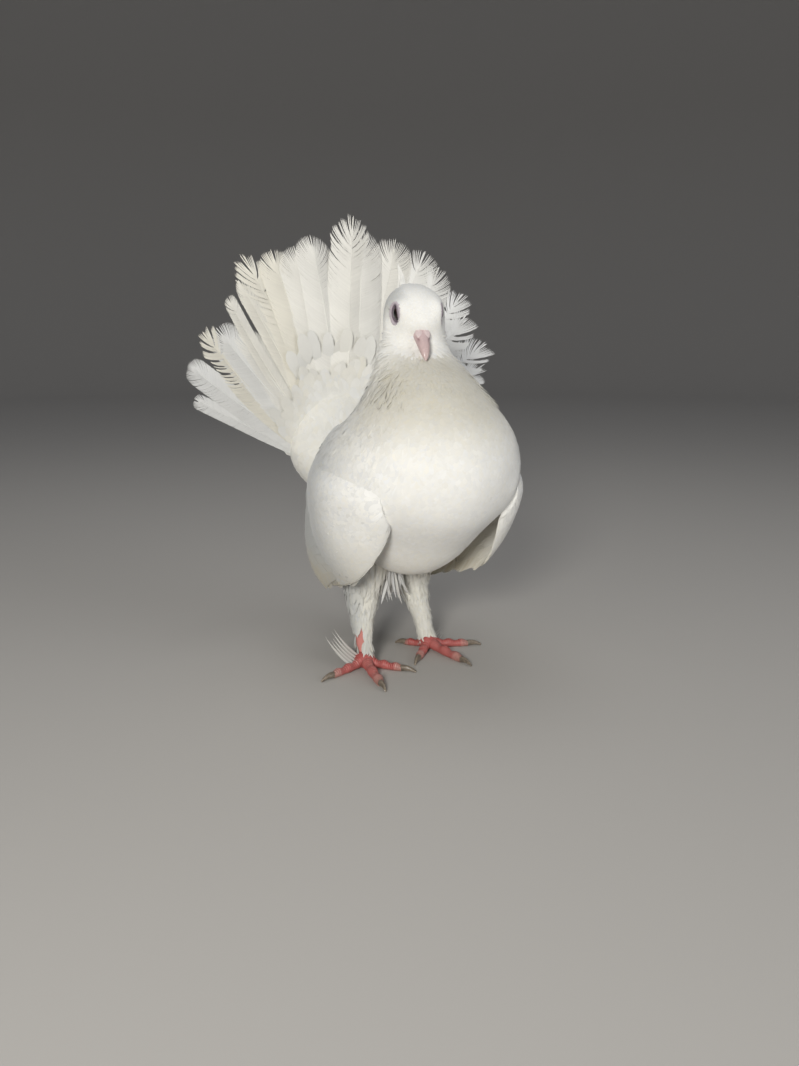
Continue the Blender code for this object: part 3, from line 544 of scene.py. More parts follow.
def sweep(centres, across, up, sag=None, around=3):
    """Closed thin bodies, one along each path, drawn to a point at both ends.

    A ring is centre + across cos t + up sin t. With three points around, it is flat beneath and has its ridge
    on top.
    """
    count, rows = centres.shape[:2]
    turn = np.arange(around) / around * TURN - (math.pi / 6 if around == 3 else 0)
    cos, sin = np.cos(turn)[:, None], np.sin(turn)[:, None]
    rings = centres[:, 1:-1, None] + across[:, 1:-1, None] * cos + up[:, 1:-1, None] * sin
    if sag is not None:
        rings = rings - sag[:, 1:-1, None] * cos**2
    inner = rows - 2
    rings = rings.reshape(count, inner * around, 3)
    points = np.concatenate([centres[:, :1], rings, centres[:, -1:]], axis=1)
    r, k = np.meshgrid(np.arange(inner - 1), np.arange(around), indexing="ij")
    a, b = 1 + r * around + k, 1 + r * around + (k + 1) % around
    quads = np.stack([a, b, b + around, a, b + around, a + around], -1).reshape(-1, 3)
    k = np.arange(around)
    start = np.stack([np.zeros(around, int), 1 + (k + 1) % around, 1 + k], -1)
    base, last = 1 + (inner - 1) * around, 1 + inner * around
    end = np.stack([np.full(around, last), base + k, base + (k + 1) % around], -1)
    row_of = np.concatenate([[0], np.repeat(np.arange(1, rows - 1), around), [rows - 1]])
    side_of = np.concatenate([[0], np.tile(np.cos(turn), inner), [0]])
    return points, np.concatenate([quads, start, end]), row_of, side_of


PATCH = 0.003  # of the baking map, across, for each feather
COAT_CREASE = 50  # degrees between faces, over which an edge of the coat is sharp


class Coat:
    """Many small closed bodies gathered in one mesh, each with its colour and its patch of the baking map."""

    def __init__(self):
        self.points, self.corners, self.vane, self.bake, self.dye = [], [], [], [], []
        self.count = 0

    def add(self, bodies, vane, bake, dye):
        """Takes in bodies of one kind, with places on the vane and on the baking map, and colours."""
        points, corners = bodies
        number, size = points.shape[:2]
        starts = self.count + np.arange(number) * size
        self.points.append(points.reshape(-1, 3))
        self.corners.append((corners[None] + starts[:, None, None]).reshape(-1, 3))
        self.vane.append(np.broadcast_to(vane, (number, size, 2)).reshape(-1, 2))
        self.bake.append(np.broadcast_to(bake, (number, size, 2)).reshape(-1, 2))
        self.dye.append(np.broadcast_to(dye, (number, size, 3)).reshape(-1, 3))
        self.count += number * size

    def make(self, name, material, replaced=()):
        """The gathered bodies as one piece of plumage."""
        maps = {"OFBake": np.concatenate(self.bake), "Vane": np.concatenate(self.vane)}
        piece(name, np.concatenate(self.points), np.concatenate(self.corners), material, replaced,
              maps, np.concatenate(self.dye), COAT_CREASE)


# Small feathers: shares of their length, and their width there as a share of the whole
FEATHER_ROWS = np.array([0, 0.22, 0.52, 0.78, 0.93, 1.0])
ROUND_FEATHER = np.array([0, 0.84, 1.15, 1.0, 0.62, 0])
POINTED_FEATHER = np.array([0, 0.86, 1.10, 0.78, 0.36, 0])
SIZES_DIFFER, TONES_DIFFER, CASTS_DIFFER = (0.86, 1.14), 0.015, 0.05


def lay_feathers(coat, surface, u, v, way, dye, length, width, low, high, shape=ROUND_FEATHER, climb=0.75,
                 yaw=0.14, lift=0.3 * MM, roll=0.10, sag=0.16, thick=0.11 * MM, limits=None, span=(15, TURN)):
    """Small feathers laid on a surface, from arrays of roots: each a lens-shaped blade along its own path.

    A path leaves its root in the direction way, as it lies in the surface. Its height over the surface goes
    from low to high with the power climb of the way along it. Its width follows the shape, and its edges sag.
    Yaw, lift and roll are how much the feathers differ in turn, height and tilt. Limits keep the paths on the
    surface, and span is how much of it the baking map shows.
    """
    count = len(u)
    point, along, across, normal = frame_at(surface, u, v)
    way = way(point, along)
    length = length(point) if callable(length) else length
    width = width(u, v) if callable(width) else width
    way = unit(way - dot(way, normal) * normal)
    angle = DRAWS.normal(0, yaw, count)[:, None]
    way = way * np.cos(angle) + np.cross(normal, way) * np.sin(angle)
    aa, ab, bb = dot(along, along), dot(along, across), dot(across, across)
    wa, wb = dot(way, along), dot(way, across)
    full = aa * bb - ab * ab
    du, dv = (wa * bb - wb * ab) / full, (wb * aa - wa * ab) / full
    length = np.broadcast_to(length, (count,)) * DRAWS.uniform(*SIZES_DIFFER, count)
    width = np.broadcast_to(width, (count,)) * DRAWS.uniform(*SIZES_DIFFER, count)
    step = FEATHER_ROWS * length[:, None]
    at_u, at_v = u[:, None] + du * step, v[:, None] + dv * step
    if limits:
        at_u = np.clip(at_u, *limits)
    spot, _, _, out = frame_at(surface, at_u, at_v)
    raised = high + DRAWS.normal(0, 1, count) * lift
    height = low + (raised[:, None] - low) * FEATHER_ROWS**climb
    tilt = DRAWS.normal(0, roll, count)[:, None, None]
    centres = spot + out * height[..., None]
    ahead = unit(np.gradient(centres, axis=1))
    aside = unit(np.cross(out, ahead))
    half = 0.5 * width[:, None] * shape
    thickness = thick * (1 - 0.5 * FEATHER_ROWS)[None, :, None]
    sideways = (aside * np.cos(tilt) + out * np.sin(tilt)) * half[..., None]
    sunk = out * (sag * half)[..., None]
    points, corners, row_of, side_of = sweep(centres, sideways, out * thickness, sunk)
    vane = np.stack([side_of * half[:, row_of], step[:, row_of]], -1) / MM
    root = np.stack([(u / span[0]) % 1, (v / span[1]) % 1], -1)[:, None]
    local = np.stack([side_of * 0.5 + 0.5, FEATHER_ROWS[row_of]], -1)[None] * PATCH
    cast = (CREAM - BLUISH) * DRAWS.normal(0, CASTS_DIFFER, (count, 1, 1))
    colour = dye(point)[:, None]
    colour = colour * DRAWS.normal(1, TONES_DIFFER, (count, 1, 1)) + cast
    coat.add((points, corners), vane, root + local, colour)


# Large feathers: shares of a barb's length, and its breadth there
BARB_ROWS = np.array([0, 0.04, 0.30, 0.62, 0.88, 1.0])
BARB_TAPER = np.array([0.5, 1, 1, 1, 0.8, 0])
BARB_TILT, BARB_THICK, BARB_REACH = 0.20, 0.055 * MM, 0.42  # the last as a share of the feather's width
LAST_BARB, SHAFT_END = 0.955, 0.975  # shares of the feather's length
TUFT_SIZE = 4.5  # barbs, on average


def barbed_feather(coat, place, length, width, dye, bake, pitch=0.72 * MM, start=6 * MM, split=0.0, fray=0.06,
                   ragged_from=0.6, narrow=(1.0, 1.0), tip=0.52, quill=-4 * MM, shaft=0.62 * MM):
    """One large feather: a shaft, and on either side barbs that hook together in a vane or part in tufts.

    place(along, across, off) gives the surface it lies on. A barb starts on the shaft and ends on the
    outline, which widens from the root with a sine and closes in a rounded tip. Barbs of one tuft are drawn
    to its middle: by fray everywhere, and by split past the share ragged_from of the length.
    """
    tip_length = tip * width
    last = LAST_BARB * length
    rows = BARB_ROWS

    def outline(x):
        """Half the vane's width at a place along the shaft."""
        grown = 0.30 + 0.70 * np.sin(np.clip(x / (0.62 * length), 0, 1) * math.pi / 2)
        closing = np.clip((x - (length - tip_length)) / tip_length, 0, 1)
        return 0.5 * width * grown * np.maximum(1 - closing**2.4, 0) ** 0.45

    for side, share in ((-1, narrow[0]), (1, narrow[1])):
        count = int((last - start) / pitch)
        root = start + (last - start) * (np.arange(count) + DRAWS.uniform(-0.15, 0.15, count)) / count
        reach = BARB_REACH * width * share
        pulled = ease(root, last - 1.7 * reach, last)
        end = root + reach * (1 - pulled) + (length - root) * pulled
        tuft = np.cumsum(DRAWS.uniform(0, 1, count) < 1 / TUFT_SIZE)
        middle = np.bincount(tuft, root)[tuft] / np.bincount(tuft)[tuft]
        mood = DRAWS.uniform(0, 1, tuft[-1] + 1)[tuft]
        ragged = split * ease(root / length, ragged_from - 0.08, ragged_from + 0.08)
        pull = np.clip(fray * mood + ragged * (0.72 + 0.25 * mood), 0, 0.96)
        half = outline(end) * share * (1 - ragged * 0.22 * DRAWS.uniform(0, 1, tuft[-1] + 1)[tuft])
        half *= DRAWS.uniform(0.97, 1.0, count)
        along = root[:, None] + (end - root)[:, None] * rows**1.2
        along += (middle - root)[:, None] * pull[:, None] * rows ** (1 - 0.4 * ragged[:, None])
        sideways = side * (half[:, None] * (1 - (1 - rows) ** 1.3) - 0.5 * MM * (1 - rows) ** 8)
        stray = DRAWS.normal(0, 1, tuft[-1] + 1)[tuft] * (0.05 + 0.8 * ragged) * MM
        off = stray[:, None] * rows**1.5
        centres = place(along, sideways, off)
        out = unit(place(along, sideways, off + 0.1 * MM) - centres)
        aside = unit(np.cross(out, unit(np.gradient(centres, axis=1))))
        breadth = pitch * 0.64 * (1 - 0.30 * rows) * BARB_TAPER
        wide = (aside * math.cos(side * BARB_TILT) + out * math.sin(side * BARB_TILT)) * breadth[:, None]
        points, corners, row_of, side_of = sweep(centres, wide, np.broadcast_to(out * BARB_THICK, wide.shape))
        vane = np.stack([side_of * breadth[row_of] / MM, rows[row_of] * 9], -1)[None]
        tone = DRAWS.normal(1, 0.012, (count, 1, 1))
        local = np.stack([side_of * 0.5 + 0.5, rows[row_of]], -1)[None] * PATCH
        spot = np.asarray(bake) + np.stack([root / length * 0.03, side * half], -1)[:, None]
        coat.add((points, corners), vane, spot + local, dye(centres[:, 2])[:, None] * tone)
    add_shaft(coat, place, quill, SHAFT_END * length, shaft, dye, bake)


def add_shaft(coat, place, start, end, radius, dye, bake):
    """A feather's shaft: rings of six points along its middle, which shrink evenly to a seventh."""
    steps = np.linspace(0, 1, 18)
    along = start + (end - start) * steps
    zero = np.zeros_like(along)
    centres = place(along, zero, zero + 0.10 * MM)[None]
    out = unit(place(along, zero, zero + 0.3 * MM)[None] - centres)
    aside = unit(np.cross(out, unit(np.gradient(centres, axis=1))))
    radius = (radius * (1 - 0.86 * steps))[None, :, None]
    points, corners, row_of, side_of = sweep(centres, aside * radius, out * radius * 0.8, around=6)
    vane = np.stack([side_of * 0.1, steps[row_of]], -1)[None]
    colour = dye(centres[:, 8])[:, None] * 1.02
    coat.add((points, corners), vane, np.asarray(bake) + np.zeros((1, 1, 2)), colour)


# Materials
BARB_SLANT = -0.9  # how far a barb runs back for its way out, with the sign changed


def finish(name, roughness, grain, depth, tone=0.06, barbs=0.0, **settings):
    """A material that takes its colour from the dye of each point, broken by noise, with fine relief.

    With barbs, the relief is the sine of lines that slant off each feather's shaft, from its own map of
    millimetres.
    """
    material = bpy.data.materials.new(name)
    material.use_nodes = True
    nodes, links = material.node_tree.nodes, material.node_tree.links
    shader = nodes["Principled BSDF"]
    shader.inputs["Roughness"].default_value = roughness
    for title, value in settings.items():
        shader.inputs[title.replace("_", " ")].default_value = value
    place = nodes.new("ShaderNodeTexCoord")
    dye = nodes.new("ShaderNodeAttribute")
    dye.attribute_name = "dye"
    noise = nodes.new("ShaderNodeTexNoise")
    noise.inputs["Scale"].default_value = grain
    noise.inputs["Detail"].default_value = 5
    links.new(place.outputs["Object"], noise.inputs["Vector"])
    level = nodes.new("ShaderNodeMapRange")
    level.inputs["From Min"].default_value = 0.3
    level.inputs["From Max"].default_value = 0.7
    level.inputs["To Min"].default_value = 1 - tone
    level.inputs["To Max"].default_value = 1 + tone * 0.3
    links.new(noise.outputs["Fac"], level.inputs["Value"])
    tint = nodes.new("ShaderNodeVectorMath")
    tint.operation = "SCALE"
    links.new(dye.outputs["Color"], tint.inputs[0])
    links.new(level.outputs["Result"], tint.inputs["Scale"])
    links.new(tint.outputs["Vector"], shader.inputs["Base Color"])

    def worked_out(operation, value, factor=None, term=None):
        """A Math node on a linked value, with a fixed factor and a linked term where they are given."""
        node = nodes.new("ShaderNodeMath")
        node.operation = operation
        links.new(value, node.inputs[0])
        if factor is not None:
            node.inputs[1].default_value = factor
        if term is not None:
            links.new(term, node.inputs[2])
        return node.outputs[0]

    relief = noise.outputs["Fac"]
    if barbs:
        chart = nodes.new("ShaderNodeUVMap")
        chart.uv_map = "Vane"
        parts = nodes.new("ShaderNodeSeparateXYZ")
        links.new(chart.outputs["UV"], parts.inputs[0])
        aside = worked_out("ABSOLUTE", parts.outputs["X"])
        slant = worked_out("MULTIPLY_ADD", aside, BARB_SLANT, parts.outputs["Y"])
        relief = worked_out("SINE", worked_out("MULTIPLY", slant, barbs))
    bump = nodes.new("ShaderNodeBump")
    bump.inputs["Strength"].default_value = 0.6
    bump.inputs["Distance"].default_value = depth
    links.new(relief, bump.inputs["Height"])
    links.new(bump.outputs["Normal"], shader.inputs["Normal"])
    return material


FEATHER = finish("soft_feather", roughness=0.75, grain=70, depth=0.006 * MM, tone=0.045, barbs=26.0,
                 Sheen_Weight=0.3, Sheen_Roughness=0.5)
QUILL = finish("quill_feather", roughness=0.62, grain=40, depth=0.02 * MM, tone=0.07, Sheen_Weight=0.15,
               Sheen_Roughness=0.5)
DOWN = finish("downy_skin", roughness=0.85, grain=400, depth=0.2 * MM, tone=0.08)
HORN = finish("claw_horn", roughness=0.38, grain=700, depth=0.12 * MM, tone=0.5, Coat_Weight=0.2)
BILL = finish("bill_horn", roughness=0.42, grain=900, depth=0.03 * MM, tone=0.10, Coat_Weight=0.15)
CERE = finish("cere", roughness=0.6, grain=1500, depth=0.08 * MM, tone=0.12)
LIDS = finish("lid_skin", roughness=0.6, grain=2200, depth=0.08 * MM, tone=0.18)
SCALES = finish("toe_scales", roughness=0.5, grain=1300, depth=0.12 * MM, tone=0.35)
EYE = finish("eye_wet", roughness=0.06, grain=3000, depth=0.0, tone=0.2, Coat_Weight=0.6)


# Colours of the plumage from places in the bird's frame
def painted_flank_shade(points):
    """Painted shade on the right flank, turned from the light: none on the breast, more towards the back."""
    x, y, z = np.moveaxis(points, -1, 0)
    upper = 1 - 0.7 * ease(z, 125 * MM, 160 * MM)
    return 0.90 * ease(y, -60 * MM, -16 * MM) * ease(-x, 14 * MM, 36 * MM) * upper


def painted_head_shade(points):
    """Painted shade on the head: behind it, and on its right side behind the eye, turned from the light."""
    left, back, _ = np.moveaxis((points - HEAD_CENTRE) @ HEAD, -1, 0)
    behind = 0.42 * ease(back, -6 * MM, 9 * MM)
    right = 0.80 * ease(-left, 1 * MM, 12 * MM) * ease(back, -8 * MM, 2 * MM)
    return np.maximum(behind, right) * ease(points[..., 2], 168 * MM, 180 * MM)


def shade_streaks_of(heights):
    """The painted grey shade of each feather of the sides: a normal draw, cut off at none and at a limit."""
    return np.clip(DRAWS.normal(0.10, 0.14, heights.shape), 0, 0.6)


def body_dye(points):
    """White, painted beige-grey shade under the cheeks to the crop, and warmer low on the belly and legs."""
    x, y, z = np.moveaxis(points, -1, 0)
    in_front = ease(-y, 22 * MM, 42 * MM)
    under_cheeks = 1 - ease(z, 179.3 * MM, 180.8 * MM) * in_front
    under_cheeks = under_cheeks - ease(z, 168 * MM, 188 * MM) * (1 - in_front)
    # Painted shade, beige-grey, under the cheeks, and less of it on the neck's sides
    throat = ease(z, 130 * MM, 162 * MM) * under_cheeks * (0.30 + 0.62 * in_front)
    # Painted grey shade on the sides, streaked feather by feather
    sides = ease(np.abs(x), 26 * MM, 44 * MM) * ease(z, 80 * MM, 110 * MM) * (1 - ease(z, 182 * MM, 190 * MM))
    shade_streaks = sides * shade_streaks_of(z)
    warm = 0.50 * ease(-z, -95 * MM, -50 * MM)
    # Painted grey shade low at the rear, under the vent
    vent = 0.55 * ease(y, 12 * MM, 34 * MM) * ease(-z, -88 * MM, -64 * MM)
    # Painted dark grey shade low down, on the legs and under the belly
    low = 0.35 * ease(-z, -72 * MM, -46 * MM)
    colour = mixed(WHITE, THROAT_SHADE, throat) + (SHADE - WHITE) * shade_streaks[..., None]
    colour = mixed(mixed(colour, CREAM, warm), SHADE, vent)
    # Painted shade in dark grey: on the right flank, on the head, and low down
    return mixed(colour, DARK_GREY, np.maximum(np.maximum(painted_flank_shade(points), painted_head_shade(points)), low))


def wing_dye(points):
    """White, painted shade at the shoulder, with dirty yellow and dark specks on the lower edge and tip."""
    z = points[..., 2]
    # Painted grey shade, streaked feather by feather, high on the wing by the shoulder
    shade_streaks = ease(z, 70 * MM, 100 * MM) * shade_streaks_of(z)
    warm = 0.35 * ease(-z, -100 * MM, -60 * MM)
    low = ease(-z, -72 * MM, -44 * MM)
    dirty = 0.55 * low * DRAWS.uniform(0.2, 1.0, z.shape)
    specks = 0.8 * low * (DRAWS.uniform(0, 1, z.shape) > 0.996)
    colour = mixed(mixed(WHITE, SHADE, shade_streaks), CREAM, warm)
    # Painted shade on the right wing, deeper towards its rear
    colour = mixed(mixed(colour, DARK_GREY, painted_flank_shade(points)), STAIN, dirty)
    return mixed(colour, 0.25 * STAIN, specks)


def bustle_dye(points):
    """The cushion under the fan: a dull cream, each feather a little lighter or darker."""
    mix = np.clip(DRAWS.normal(0.38, 0.035, points.shape[:-1]), 0, 1)
    return mixed(WHITE, 0.5 * CREAM + 0.5 * DARK_GREY, mix)


def one_dye(colour):
    """A dye that is the same everywhere."""
    return lambda points: np.broadcast_to(colour, points.shape)


# The skin: body, tail base and legs, set in by the depth of the coat and melted into one surface
def skin_shell(surface, u_range, rings, depth, around=72):
    """A closed skin under part of a surface, whose points are moved inwards by the depth."""
    u, v = np.meshgrid(np.linspace(*u_range, rings), round_turn(around)[0], indexing="ij")
    point, _, _, normal = frame_at(surface, u, v)
    inset = depth(u) if callable(depth) else depth
    return closed_grid(point - normal * np.broadcast_to(inset, u.shape)[..., None], surface.outward < 0)


def coat_depth(along):
    """How deep the skin lies under the body's coat: less on the neck and head than on the body."""
    return (1.0 + 1.4 * (1 - ease(along, 9.0, 11.5))) * MM


def skin_dye(points):
    """The plumage's colours, and bare pink skin low on the legs."""
    low = ease(-points[:, 2:], -36 * MM, -28 * MM)
    return body_dye(points) * 0.96 * (1 - low) + BARE_SKIN * low


def make_skin():
    """One skin under the plumage: four closed shells, rebuilt as the outside of a grid of small cubes."""
    points, corners = joined([
        skin_shell(body_surface, (0.35, 14.75), 150, coat_depth),
        skin_shell(tail_base_surface, (0.3, 5.6), 60, 3.0 * MM),
        skin_shell(leg_surface("left"), (0.0, 5.9), 60, 1.2 * MM, 40),
        skin_shell(leg_surface("right"), (0.0, 5.9), 60, 1.2 * MM, 40),
    ])
    made = piece("skin", points, corners, DOWN, ("torso", "neck", "head", "rump"))
    melt = made.modifiers.new("melt", "REMESH")
    melt.mode = "VOXEL"
    melt.voxel_size = 1.3 * MM
    melt.use_smooth_shade = True
    mesh = bpy.data.meshes.new_from_object(made.evaluated_get(bpy.context.evaluated_depsgraph_get()))
    made.modifiers.clear()
    old, made.data = made.data, mesh
    bpy.data.meshes.remove(old)
    places = np.empty(len(mesh.vertices) * 3, np.float32)
    mesh.vertices.foreach_get("co", places)
    set_dye(mesh, skin_dye(places.reshape(-1, 3) - HOME))


# Small feathers
def body_flow(points, along):
    """Feathers lie back over the head from the bill, part round the eyes, and run on down the body."""
    share = 1 - ease(np.linalg.norm(points - BILL_ROOT, axis=-1), 24 * MM, 42 * MM)[..., None]
    flow = unit(unit(points - BILL_ROOT) * share - unit(along) * (1 - share))
    for sign in (1, -1):
        off = points - eye_centre(sign)
        away = off - dot(off, eye_way(sign)) * eye_way(sign)
        reach = np.linalg.norm(away, axis=-1, keepdims=True)
        near = (1 - ease(reach, 6 * MM, 9.5 * MM)) * (dot(off, eye_way(sign)) > -1 * MM)
        flow = flow - unit(away) * np.minimum(dot(flow, unit(away)) - 0.12, 0) * near
    return unit(flow)


def face_size(points):
    """Head feathers are shortest at the bill and round the eyes."""
    size = 1.7 + 2.5 * ease(np.linalg.norm(points - BILL_ROOT, axis=-1), 5 * MM, 22 * MM)
    for sign in (1, -1):
        away = np.linalg.norm(points - eye_centre(sign), axis=-1)
        size = size * (0.62 + 0.38 * ease(away, 7 * MM, 12 * MM))
    return size * MM


def clear_of_face(points, u, v):
    """Leaves the eyes, the lids and the bill's root bare, and has more feathers where they are short."""
    keep = (4.2 * MM / face_size(points)) ** 0.8
    for sign in (1, -1):
        off = points - eye_centre(sign)
        reach = np.linalg.norm(off - dot(off, eye_way(sign)) * eye_way(sign), axis=-1)
        keep = keep * ((reach > 5.5 * MM) | (dot(off, eye_way(sign))[..., 0] < 0))
    bare = np.linalg.norm((points - BILL_ROOT) @ HEAD / np.array([4.4, 4.5, 3.4]) / MM, axis=-1)
    return keep * (bare > 1)


def plumage(name, surface, count, u_range, v_range, way=body_flow, dye=body_dye, density=None, **feather):
    """A piece of small feathers, with so many roots spread over part of a surface."""
    coat = Coat()
    u, v = spread(surface, count, u_range, v_range, density)
    lay_feathers(coat, surface, u, v, way, dye, **feather)
    coat.make(name, FEATHER)


def down_the_line(points, along):
    """Against the surface's first parameter."""
    return -along


def up_the_line(points, along):
    """With the surface's first parameter."""
    return along


def hanging(points, along):
    """Down, and half as much backwards."""
    return np.array([0, 0.5, -1.0])


def backwards(points, along):
    """To the tail, and a little out and down over the upper edge of the wing."""
    return np.stack([0.2 * np.sign(points[..., 0]), np.ones(len(points)), np.full(len(points), -0.4)], -1)


# The crown's top, where the body's rings close and leave no way to lay feathers by
CROWN_RING = body_surface(np.full(4, 15.0), np.arange(4) * math.pi / 2)
CROWN_POLE = CROWN_RING.mean(0)
CROWN_BACK, CROWN_SIDE = unit(CROWN_RING[0] - CROWN_POLE), unit(CROWN_RING[1] - CROWN_POLE)
CROWN_UP = np.cross(CROWN_SIDE, CROWN_BACK)
CROWN_DOME = 20.0  # it sinks by this times the square of the way from its middle, in metres


def crown_surface(back, aside):
    """The top of the crown: a low dome, which sinks with the square of the way from its middle."""
    back, aside = np.asarray(back)[..., None], np.asarray(aside)[..., None]
    sink = 0.10 * MM - CROWN_DOME * (back**2 + aside**2)
    return CROWN_POLE + CROWN_BACK * back + CROWN_SIDE * aside + CROWN_UP * sink


crown_surface.outward = -1


def on_the_sides(points, u, v):
    """The body's two sides, but not where a wing lies on them."""
    return ease(np.abs(np.sin(v)), 0.55, 0.9) * clear_of_wing(points, u, v)


BARE_TO = {"left": 0.8, "right": 2.7}  # how far up a leg, counted in its circles, the bare patch goes


def bare_shank(foot):
    """Where a leg is feathered: all of it but a patch low on the outer side, larger on the right leg."""
    side = 1 if foot == "left" else -1
    size = BARE_TO[foot]

    def density(points, u, v):
        """Next to nothing where the leg faces outwards and is lower than the patch."""
        facing = side * np.cos(v)
        return 1 - 0.98 * ease(facing, 0.0, 0.4) * (1 - ease(u, size - 0.5, size))

    return density


# Parts of the body's surface: the rings that feathers keep to, and its front and rear
BODY_LIMITS = (0.05, 14.95)
QUARTER = TURN / 4
ALL_ROUND, FRONT, REAR = (0, TURN), (QUARTER, 3 * QUARTER), (-QUARTER, QUARTER)
SCAPULAR_TURNS = {"left": (0.50, 1.02), "right": (TURN - 1.02, TURN - 0.50)}


def make_body_plumage():
    """The small feathers of head, neck, breast, belly, back and shoulders, and the tuft under the vent."""
    plumage("plumage_head", body_surface, 5000, (10.9, 14.85), ALL_ROUND, density=clear_of_face,
            limits=BODY_LIMITS, length=face_size, width=1.45 * MM, low=-0.45 * MM, high=0.10 * MM,
            lift=0.03 * MM, thick=0.05 * MM, yaw=0.10, roll=0.03, sag=0.05)
    plumage("plumage_crown", crown_surface, 420, (-6.5 * MM, 6.5 * MM), (-6 * MM, 6 * MM), way=up_the_line,
            span=(0.02, 0.02), length=3.8 * MM, width=1.5 * MM, low=-0.5 * MM, high=0.12 * MM,
            lift=0.04 * MM, thick=0.05 * MM, roll=0.03, sag=0.05)
    plumage("plumage_neck", body_surface, 4100, (8.2, 11.3), ALL_ROUND,
            limits=BODY_LIMITS, length=6.0 * MM, width=2.1 * MM, low=-0.6 * MM, high=0.10 * MM,
            lift=0.03 * MM, thick=0.045 * MM, yaw=0.12, roll=0.03, sag=0.04)
    plumage("plumage_neck_wisps", body_surface, 620, (8.3, 11.3), ALL_ROUND, density=on_the_sides,
            limits=BODY_LIMITS, length=7.5 * MM, width=0.9 * MM, low=-0.5 * MM, high=0.8 * MM,
            lift=0.45 * MM, yaw=0.16, shape=POINTED_FEATHER)
    plumage("plumage_flank_wisps", body_surface, 520, (5.6, 8.6), ALL_ROUND, density=on_the_sides,
            limits=BODY_LIMITS, length=10.0 * MM, width=1.5 * MM, low=-0.5 * MM, high=0.30 * MM,
            lift=0.12 * MM, thick=0.05 * MM, yaw=0.10, shape=POINTED_FEATHER)
    plumage("plumage_breast", body_surface, 5600, (4.6, 8.8), FRONT, density=clear_of_wing,
            limits=BODY_LIMITS, length=11.0 * MM, width=4.4 * MM, low=-0.60 * MM, high=0.12 * MM,
            lift=0.025 * MM, thick=0.05 * MM, yaw=0.06, roll=0.012, sag=0.02)
    plumage("plumage_belly", body_surface, 3200, (0.8, 4.9), FRONT, density=clear_of_wing,
            limits=BODY_LIMITS, length=12.0 * MM, width=4.4 * MM, low=-1.0 * MM, high=0.15 * MM,
            lift=0.08 * MM, thick=0.06 * MM, yaw=0.10, roll=0.04, sag=0.04)
    plumage("plumage_back", body_surface, 4000, (0.4, 8.6), REAR, density=clear_of_wing,
            limits=BODY_LIMITS, length=11.0 * MM, width=5.0 * MM, low=-1.0 * MM, high=0.12 * MM,
            lift=0.05 * MM, thick=0.06 * MM, yaw=0.09, roll=0.03, sag=0.04)
    plumage("plumage_shoulders", cloak_surface, 1100, (3.6, 7.6), ALL_ROUND, density=on_the_join,
            limits=BODY_LIMITS, length=11.0 * MM, width=4.0 * MM, low=-0.3 * MM, high=0.30 * MM,
            lift=0.04 * MM, thick=0.05 * MM, yaw=0.08, roll=0.012, sag=0.02)
    for side, turns in SCAPULAR_TURNS.items():
        plumage(f"scapulars_{side}", body_surface, 300, (2.6, 6.2), turns, way=backwards,
                limits=BODY_LIMITS, length=17.0 * MM, width=7.0 * MM, low=-0.8 * MM, high=0.9 * MM,
                lift=0.25 * MM, thick=0.06 * MM, yaw=0.12, sag=0.05)
    # The tuft hangs in the body's shade, painted grey
    plumage("vent_tuft", body_surface, 420, (3.0, 3.7), (math.pi + 0.08, math.pi + 0.40), way=hanging,
            dye=one_dye(VENT_TUFT_SHADE), limits=BODY_LIMITS, length=9.0 * MM, width=2.2 * MM, low=-0.6 * MM,
            high=19.0 * MM, lift=4.0 * MM, yaw=0.5, climb=1.0, shape=POINTED_FEATHER)


def make_soft_base():
    """The cushion under the fan."""
    plumage("plumage_tail_base", tail_base_surface, 3900, (-0.45, 5.9), ALL_ROUND, way=up_the_line,
            dye=bustle_dye, limits=(-0.5, 6.6), span=(6.6, TURN), length=13.0 * MM, width=5.4 * MM,
            low=-1.4 * MM, high=0.15 * MM, lift=0.12 * MM, thick=0.06 * MM, yaw=0.13, roll=0.04, sag=0.05)


def make_leg_plumage(foot):
    """One leg's feathers, the frill over its foot, and the fluff of its thigh."""
    surface = leg_surface(foot)
    pointed = {"way": down_the_line, "span": (6, TURN), "shape": POINTED_FEATHER}
    plumage(f"plumage_leg_{foot}", surface, 1750, (0.25, 5.6), ALL_ROUND, density=bare_shank(foot),
            limits=(-0.2, 6), length=7.0 * MM, width=2.1 * MM, low=-1.0 * MM, high=0.25 * MM, lift=0.2 * MM,
            yaw=0.16, **pointed)
    plumage(f"frill_{foot}", surface, 150, (0.35, 1.2), ALL_ROUND, density=bare_shank(foot),
            limits=(-0.3, 6), length=6.5 * MM, width=1.5 * MM, low=-0.5 * MM, high=1.0 * MM, lift=0.5 * MM,
            yaw=0.3, **pointed)
    plumage(f"thigh_fluff_{foot}", surface, 700, (3.9, 5.8), ALL_ROUND,
            limits=(1, 6), length=12.0 * MM, width=2.8 * MM, low=-0.6 * MM, high=1.0 * MM, lift=0.5 * MM,
            yaw=0.18, **pointed)


# The fan
FAN_BEND = 0.9  # a feather's fall backwards: this times the square of its length, in metres
FAN_ARCH = 9.0  # and of its edges: this times the square of the way across it
FAN_CURL_OVER, FAN_WAVE = 130 * MM, 22 * MM  # the length over which a tip curls, and a wave's


def fan_point(out, high, ahead):
    """A place from the fan's root: out to the left, up along its lean, and ahead of its plane."""
    lean_up = np.array([0, math.sin(FAN_LEAN), math.cos(FAN_LEAN)])
    forwards = np.array([0, -math.cos(FAN_LEAN), math.sin(FAN_LEAN)])
    sideways = np.array([1.0, 0, 0])
    return FAN_ROOT + out[..., None] * sideways + high[..., None] * lean_up + ahead[..., None] * forwards


